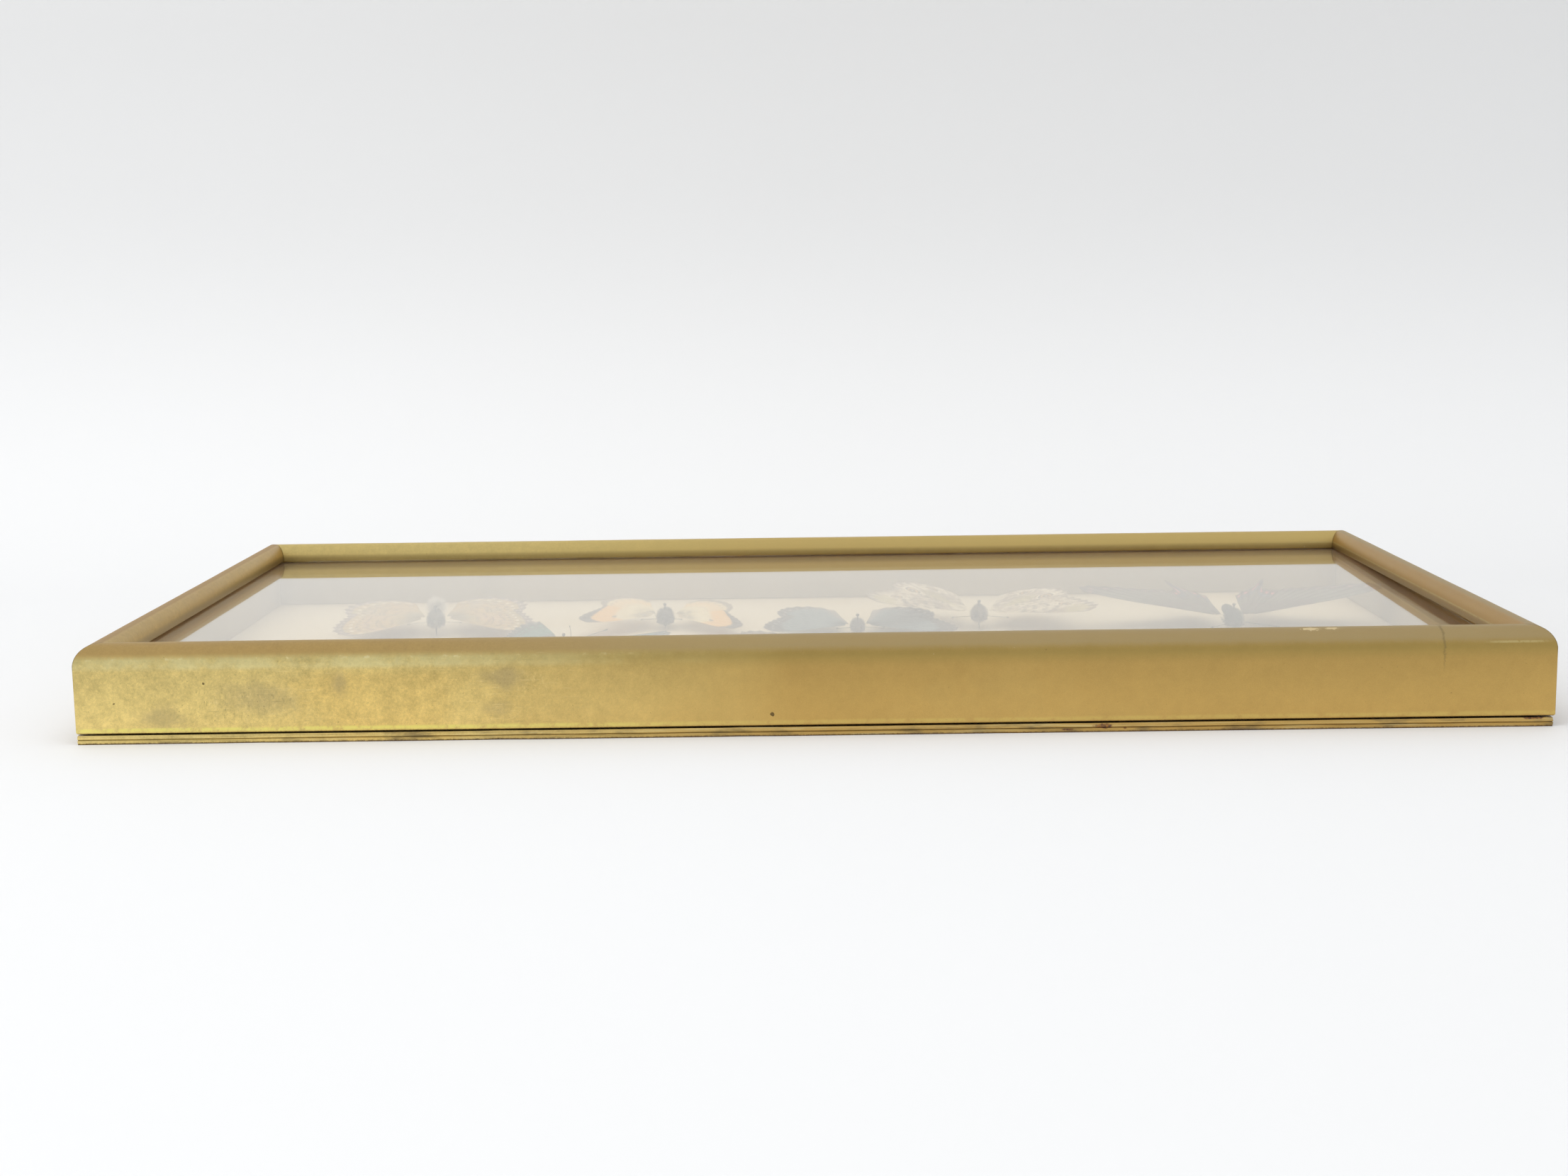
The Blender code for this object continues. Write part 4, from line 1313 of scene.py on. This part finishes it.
def model_moulding(name, size, turn, settings):
    """One side of the moulding, along X with its outer face at -Y, drawn along its section."""
    low_y = -(HALF_DEPTH if turn in (0, 180) else HALF_WIDTH)
    web = WEB_INSET - 0.0003
    middle = (-size / 2, low_y + web / 2, (RAIL_FOOT + FRAME_TOP) / 2)
    deselect()
    bpy.ops.mesh.primitive_plane_add(size=1.0, location=middle, rotation=(math.pi / 2, 0, math.pi / 2))
    rail = adopt(name)
    edit(rail, selected=True)
    scale_about(middle, (1.0, web, FRAME_TOP - RAIL_FOOT))
    bpy.ops.mesh.bisect(plane_co=(0, 0, settings.lip_height), plane_no=(0, 0, 1))
    tiny = 1e-5
    pick("EDGE", lambda p: p.y > low_y + web - tiny and p.z > settings.lip_height - tiny)
    extrude((0, LIP_INSET - web, 0))
    round_corner(lambda p: p.y < low_y + tiny and p.z > FRAME_TOP - tiny,
                 settings.crest_inset, FRAME_TOP - settings.shoulder_height, 18)
    round_corner(lambda p: p.y > low_y + LIP_INSET - tiny and p.z > FRAME_TOP - tiny,
                 LIP_INSET - settings.crest_inset - tiny, FRAME_TOP - settings.lip_height - 0.0006, 12)
    round_corner(lambda p: p.y < low_y + tiny and p.z < RAIL_FOOT + tiny,
                 settings.foot_radius, settings.foot_radius, 5)
    round_corner(lambda p: p.y > low_y + LIP_INSET - tiny and p.z < settings.lip_height + tiny,
                 0.0003, 0.0003, 3)
    bpy.ops.mesh.select_all(action="SELECT")
    steps = int(size / MOULDING_STEP)
    for _ in range(steps):
        extrude((size / steps, 0, 0))
    for side in (-1, 1):
        bpy.ops.mesh.select_all(action="SELECT")
        bpy.ops.mesh.bisect(plane_co=(side * (size / 2 - MITRE_GAP), low_y, 0), plane_no=(side, 1, 0),
                            use_fill=True, clear_outer=True)
    bpy.ops.object.mode_set(mode="OBJECT")
    close_up(rail)

    def wander(point):
        """Hand-made faces are never quite flat."""
        x, y, z = point
        lift = math.sin(x * 31 + y * 17) * 0.5 + math.sin(x * 83 + z * 210 + 1.7) * 0.3
        lift += math.sin(x * 211 + y * 400) * 0.2
        inward = settings.waviness * (1 + lift) * 0.5
        if z > RAIL_FOOT + 0.0015 and z < settings.shoulder_height and y < low_y + 0.0005:
            return Vector((x, y + inward, z))
        if z > settings.shoulder_height:
            return Vector((x, y, z - inward))
        return point

    move_points(rail, wander)
    soften(rail, 40)
    rail.rotation_euler.z = math.radians(turn)
    settle(rail)
    return rail


def round_corner(test, across, up, segments):
    """Rounds one corner of the section to a quarter of an ellipse."""
    pick("VERT", lambda _: True)
    squeeze = across / up
    scale_about((0, 0, 0), (1, 1, squeeze))
    pick("VERT", lambda p: test(Vector((p.x, p.y, p.z / squeeze))))
    bpy.ops.mesh.bevel(offset=across, segments=segments, profile=0.5, affect="VERTICES", clamp_overlap=False)
    pick("VERT", lambda _: True)
    scale_about((0, 0, 0), (1, 1, 1 / squeeze))


class BUTTERFLIES_OT_moulding(bpy.types.Operator):
    """Models the four mitred sides of the gilded moulding"""

    bl_idname = "butterflies.moulding"
    bl_label = "Gilded Moulding"

    def execute(self, context):
        settings = context.scene.butterflies_moulding
        finish = gilt("gilt", settings)
        width, depth = 2 * HALF_WIDTH, 2 * HALF_DEPTH
        for number, word in enumerate(("front", "right", "back", "left")):
            size = depth if number % 2 else width
            rail = model_moulding(f"moulding_{word}", size, number * 90, settings)
            finish_piece(rail, [finish], "gilt", f"rail_{word}")
        return {"FINISHED"}


class BUTTERFLIES_OT_back_board(bpy.types.Operator):
    """Models the back board with its grooved, gilded edge"""

    bl_idname = "butterflies.back_board"
    bl_label = "Back Board"

    def execute(self, context):
        settings = context.scene.butterflies_moulding
        low, high = BOARD_LOW, BOARD_HIGH
        middle = (low + high) / 2
        size = high - low
        deselect()
        bpy.ops.mesh.primitive_cube_add(size=1.0, location=middle, scale=size)
        board = adopt("backing_board")
        edit(board, selected=True)
        cuts = [((0, 0, height), (0, 0, 1)) for height in BOARD_CUTS]
        for step in range(1, BOARD_COLUMNS):
            cuts.append(((low.x + size.x * step / BOARD_COLUMNS, 0, 0), (1, 0, 0)))
        for step in range(1, BOARD_ROWS):
            cuts.append(((0, low.y + size.y * step / BOARD_ROWS, 0), (0, 1, 0)))
        for point, normal in cuts:
            bpy.ops.mesh.select_all(action="SELECT")
            bpy.ops.mesh.bisect(plane_co=point, plane_no=normal)
        bpy.ops.object.mode_set(mode="OBJECT")

        def grooved(point):
            x, y, z = point
            depth = settings.groove_depth if abs(z - BOARD_CUTS[1]) < 1e-5 else 0.0
            rim = z < low.z + 1e-5 or z > high.z - 1e-5
            chip = max(0.0, math.sin(x * 137 + y * 91) + math.sin(x * 61 - y * 173 + 2.0) - 1.25)
            depth += (0.00035 + 0.0009 * chip) if rim else 0.00012 * (1 + math.sin(x * 190 + y * 230))
            if abs(x - low.x) < 1e-5 or abs(x - high.x) < 1e-5:
                x -= math.copysign(depth, x)
            if abs(y - low.y) < 1e-5 or abs(y - high.y) < 1e-5:
                y -= math.copysign(depth, y)
            return Vector((x, y, z))

        move_points(board, grooved)
        edit(board)
        pick("FACE", lambda p: p.z < low.z + 1e-5)
        bpy.ops.object.mode_set(mode="OBJECT")
        under = [face.select for face in board.data.polygons]
        soften(board, 50)
        finish_piece(board, [gilt("board_gilt", settings, board=True), bare_board(settings)], "board_gilt",
                     "back_board")
        for face, below in zip(board.data.polygons, under):
            face.material_index = 1 if below else 0
        return {"FINISHED"}


class BUTTERFLIES_OT_pane(bpy.types.Operator):
    """Models the glass pane with its ground edges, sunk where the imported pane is"""

    bl_idname = "butterflies.pane"
    bl_label = "Glass Pane"

    def execute(self, context):
        settings = context.scene.butterflies_glass
        size = PANE_HIGH - PANE_LOW
        corners = self.corner_heights()
        deselect()
        bpy.ops.mesh.primitive_grid_add(x_subdivisions=28, y_subdivisions=14, size=1.0)
        pane = adopt("pane")

        def sunk(point):
            across, along = point.x + 0.5, point.y + 0.5
            front = corners[0] * (1 - across) + corners[1] * across
            back = corners[2] * (1 - across) + corners[3] * across
            height = front * (1 - along) + back * along
            return Vector((PANE_LOW.x + size.x * across, PANE_LOW.y + size.y * along, height))

        move_points(pane, sunk)
        modify(pane, "SOLIDIFY", thickness=settings.thickness, offset=-1.0)
        modify(pane, "BEVEL", width=settings.arris, segments=1, limit_method="ANGLE",
               angle_limit=math.radians(40))
        soften(pane, 20)
        finish_piece(pane, [clear_glass(settings)], "glass", "glass_pane")
        return {"FINISHED"}

    @staticmethod
    def corner_heights():
        """The top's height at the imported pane's corners: front left, front right, back left, back right."""
        points = [vert.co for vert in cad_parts["glass_pane"].data.vertices]
        heights = []
        for y in (PANE_LOW.y, PANE_HIGH.y):
            for x in (PANE_LOW.x, PANE_HIGH.x):
                near = [p.z for p in points if abs(p.x - x) < 1e-4 and abs(p.y - y) < 1e-4]
                heights.append(max(near))
        return heights


class BUTTERFLIES_OT_lining(bpy.types.Operator):
    """Papers the box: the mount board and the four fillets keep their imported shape"""

    bl_idname = "butterflies.lining"
    bl_label = "Paper Lining"

    def execute(self, context):
        settings = context.scene.butterflies_glass
        cream = tuple(settings.mount_paper)
        aged = (cream[0] * 0.94, cream[1] * 0.90, cream[2] * 0.82)
        mount = paper("mount_paper", cream, aged, 0.35, 0.00008)
        # painted shade: the walls get a dark paper tone for the shade inside the box
        wall_shade_tone = tuple(settings.wall_paper_shaded)
        wall = paper("spacer_paper", wall_shade_tone, (wall_shade_tone[0] * 0.82, wall_shade_tone[1] * 0.86, wall_shade_tone[2] * 0.9), 0.15, 0.00010,
                     binding_and_shade=True)
        self.dress("mount_board", mount)
        for word in ("front", "back", "left", "right"):
            self.dress(f"spacer_{word}", wall)
        return {"FINISHED"}

    @staticmethod
    def dress(node, material):
        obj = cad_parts[node]
        for held in obj.material_slots:
            held.material = material


class BUTTERFLIES_OT_wings(bpy.types.Operator):
    """Models the wings of every butterfly, each with its own pattern"""

    bl_idname = "butterflies.wings"
    bl_label = "Wings"

    def execute(self, context):
        settings = context.scene.butterflies_specimens
        for name, spec in SPECIMENS.items():
            fringe = hair_finish(f"{name}_fringe", *spec["fringe"])
            for fore in (True, False):
                kind = "forewing" if fore else "hindwing"
                scaled = wing_finish(f"{name}_{kind}", spec["pattern"], fore)
                for side, word in SIDES:
                    model_wing(name, spec, side, word, fore, (scaled, fringe), settings)
        return {"FINISHED"}


class BUTTERFLIES_OT_bodies(bpy.types.Operator):
    """Models the bodies with their hair, feelers and legs"""

    bl_idname = "butterflies.bodies"
    bl_label = "Bodies"

    def execute(self, context):
        settings = context.scene.butterflies_specimens
        eyes = eye_finish()
        for name, spec in SPECIMENS.items():
            dark, light = spec["hair"]
            skin = skin_finish(f"{name}_skin", dark, tuple(0.8 * part for part in light))
            hair = hair_finish(f"{name}_hair", dark, light)
            place = specimen_place(name, spec)
            torso, extras = model_torso(name, spec, place)
            fur = model_fur(name, spec, torso, settings)
            tuft = []
            if spec.get("tuft"):
                pale = hair_finish(f"{name}_tuft", (0.66, 0.63, 0.58), (0.93, 0.92, 0.90))
                tuft.append((model_tuft(name, spec, spec["tuft"], 2200), pale, [], "tuft"))
            for extra in extras:
                extra.data.materials.append(eyes if "eye" in extra.name else hair)
            torso.data.materials.append(skin)
            join([torso, *extras])
            pieces = [
                (torso, None, [f"{name}_body"], "torso"),
                (fur, hair, [], "fur"),
                (model_feelers(name, spec), skin, [], "feelers"),
                (model_legs(name, spec), skin, [], "legs"),
            ]
            for piece, finish, nodes, word in pieces + tuft:
                piece.name = f"{name}_{word}"
                piece.matrix_world = place
                settle(piece)
                if word not in ("fur", "tuft"):
                    soften(piece, 50)
                materials = [finish] if finish else list(piece.data.materials)
                indices = [face.material_index for face in piece.data.polygons]
                finish_piece(piece, materials, "fur", *nodes)
                for face, index in zip(piece.data.polygons, indices):
                    face.material_index = index if finish is None else 0
        return {"FINISHED"}


class BUTTERFLIES_OT_pins(bpy.types.Operator):
    """Models the pins that hold the butterflies"""

    bl_idname = "butterflies.pins"
    bl_label = "Pins"

    def execute(self, context):
        steel = pin_steel()
        for name in SPECIMENS:
            low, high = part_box(f"{name}_pin")
            middle = (low + high) / 2
            tall = high.z - PIN_HEAD_RADIUS - low.z
            stations = [((0, 0, 0), PIN_RADIUS * 0.25), ((0, 0.0014, 0), PIN_RADIUS * 0.8)]
            stations += [((0, 0.0024, 0), PIN_RADIUS), ((0, tall, 0), PIN_RADIUS)]
            pin = turned(f"{name}_needle", stations, 16)
            pin.rotation_euler.x = math.pi / 2
            pin.location = (middle.x, middle.y, low.z)
            settle(pin)
            deselect()
            bpy.ops.mesh.primitive_uv_sphere_add(segments=24, ring_count=14, radius=PIN_HEAD_RADIUS,
                                                 location=(middle.x, middle.y, high.z - PIN_HEAD_RADIUS),
                                                 scale=(1, 1, 0.85))
            head = adopt(f"{name}_pin_head")
            join([pin, head])
            soften(pin, 40)
            finish_piece(pin, [steel], "pin_steel", f"{name}_pin")
        return {"FINISHED"}


class BUTTERFLIES_OT_stage(bpy.types.Operator):
    """Sets the pale floor and backdrop, the soft lamps and the camera"""

    bl_idname = "butterflies.stage"
    bl_label = "Stage"

    def execute(self, context):
        settings = context.scene.butterflies_stage
        self.make_sweep(settings)
        self.make_lamps(context, settings)
        self.make_camera(context, settings)
        return {"FINISHED"}

    @staticmethod
    def make_sweep(settings):
        deselect()
        bpy.ops.mesh.primitive_plane_add(size=1.0)
        sweep = adopt("floor")
        sweep.scale = (*SWEEP_SIZE, 1.0)
        sweep.location.y = settings.wall_distance - SWEEP_SIZE[1] / 2
        settle(sweep)
        edit(sweep)
        pick("EDGE", lambda p: p.y > settings.wall_distance - 0.01)
        extrude((0, 0, SWEEP_HEIGHT))
        pick("EDGE", lambda p: p.y > settings.wall_distance - 0.01 and p.z < 0.01)
        bpy.ops.mesh.bevel(offset=SWEEP_RADIUS, segments=24, profile=0.5)
        bpy.ops.object.mode_set(mode="OBJECT")
        soften(sweep, 40)
        g = Graph("floor_cloth")
        soft = g.noise(g.place(), 3.0, 3.0, 0.5)
        pale = tuple(settings.floor)
        tone = g.mix(soft, pale, tuple(part * 0.985 for part in pale))
        height = g.place().split()[2]
        # painted shade: the backdrop is made darker as it rises
        tone = g.shade(tone, 1 - 0.12 * height.rise(0.02, 0.24))
        sweep.data.materials.append(g.finish(g.principled({"Base Color": tone, "Roughness": 0.9})))

    @staticmethod
    def make_lamps(context, settings):
        world = bpy.data.worlds.new("room")
        world.use_nodes = True
        light = world.node_tree.nodes["Background"]
        light.inputs["Color"].default_value = (0.97, 0.985, 1.0, 1.0)
        light.inputs["Strength"].default_value = settings.room_light
        context.scene.world = world
        deselect()
        for name, place, size, power in (
            ("lamp_above", (-0.3, -0.5, 1.7), 2.2, settings.lamp_power),
            ("lamp_left", (-1.6, -1.1, 0.9), 1.3, settings.lamp_power * 0.35),
        ):
            bpy.ops.object.light_add(type="AREA", location=place)
            lamp = bpy.context.object
            lamp.name = name
            lamp.data.size = size
            lamp.data.energy = power
            lamp.visible_glossy = False
            lamp.rotation_euler = (-Vector(place)).to_track_quat("-Z", "Y").to_euler()

    @staticmethod
    def make_camera(context, settings):
        yaw, pitch, roll = settings.camera_turn
        ahead = Vector((math.sin(yaw) * math.cos(pitch), math.cos(yaw) * math.cos(pitch), -math.sin(pitch)))
        level = Vector((math.cos(yaw), -math.sin(yaw), 0))
        upright = level.cross(ahead)
        right = level * math.cos(roll) + upright * math.sin(roll)
        above = upright * math.cos(roll) - level * math.sin(roll)
        bpy.ops.object.camera_add()
        camera = bpy.context.object
        camera.name = "camera"
        camera.matrix_world = Matrix((
            (right.x, above.x, -ahead.x, settings.camera_place[0]),
            (right.y, above.y, -ahead.y, settings.camera_place[1]),
            (right.z, above.z, -ahead.z, settings.camera_place[2]),
            (0, 0, 0, 1),
        ))
        camera.data.lens = settings.lens
        camera.data.sensor_width = 36.0
        camera.data.clip_start = 0.01
        context.scene.camera = camera
        context.scene.view_settings.view_transform = "Standard"


class BUTTERFLIES_PT_panel(bpy.types.Panel):
    """Lists the pieces in the order they are made"""

    bl_idname = "BUTTERFLIES_PT_panel"
    bl_label = "Framed Butterflies"
    bl_space_type = "VIEW_3D"
    bl_region_type = "UI"
    bl_category = "Butterflies"

    def draw(self, context):
        for name, group in SETTINGS:
            box = self.layout.box()
            box.label(text=name.rsplit("_", 1)[-1].title())
            for key in group.__annotations__:
                box.prop(getattr(context.scene, name), key)
        for operator in OPERATORS:
            self.layout.operator(operator.bl_idname)


SETTINGS = (
    ("butterflies_moulding", MouldingSettings),
    ("butterflies_glass", GlassSettings),
    ("butterflies_specimens", SpecimenSettings),
    ("butterflies_stage", StageSettings),
)
OPERATORS = (
    BUTTERFLIES_OT_moulding,
    BUTTERFLIES_OT_back_board,
    BUTTERFLIES_OT_pane,
    BUTTERFLIES_OT_lining,
    BUTTERFLIES_OT_wings,
    BUTTERFLIES_OT_bodies,
    BUTTERFLIES_OT_pins,
    BUTTERFLIES_OT_stage,
)


def register():
    for name, group in SETTINGS:
        bpy.utils.register_class(group)
        setattr(bpy.types.Scene, name, PointerProperty(type=group))
    for operator in OPERATORS:
        bpy.utils.register_class(operator)
    bpy.utils.register_class(BUTTERFLIES_PT_panel)


def unregister():
    bpy.utils.unregister_class(BUTTERFLIES_PT_panel)
    for operator in reversed(OPERATORS):
        bpy.utils.unregister_class(operator)
    for name, group in reversed(SETTINGS):
        delattr(bpy.types.Scene, name)
        bpy.utils.unregister_class(group)


def main():
    register()
    for operator in OPERATORS:
        group, name = operator.bl_idname.split(".")
        getattr(getattr(bpy.ops, group), name)()
    deselect()


if __name__ == "__main__":
    main()
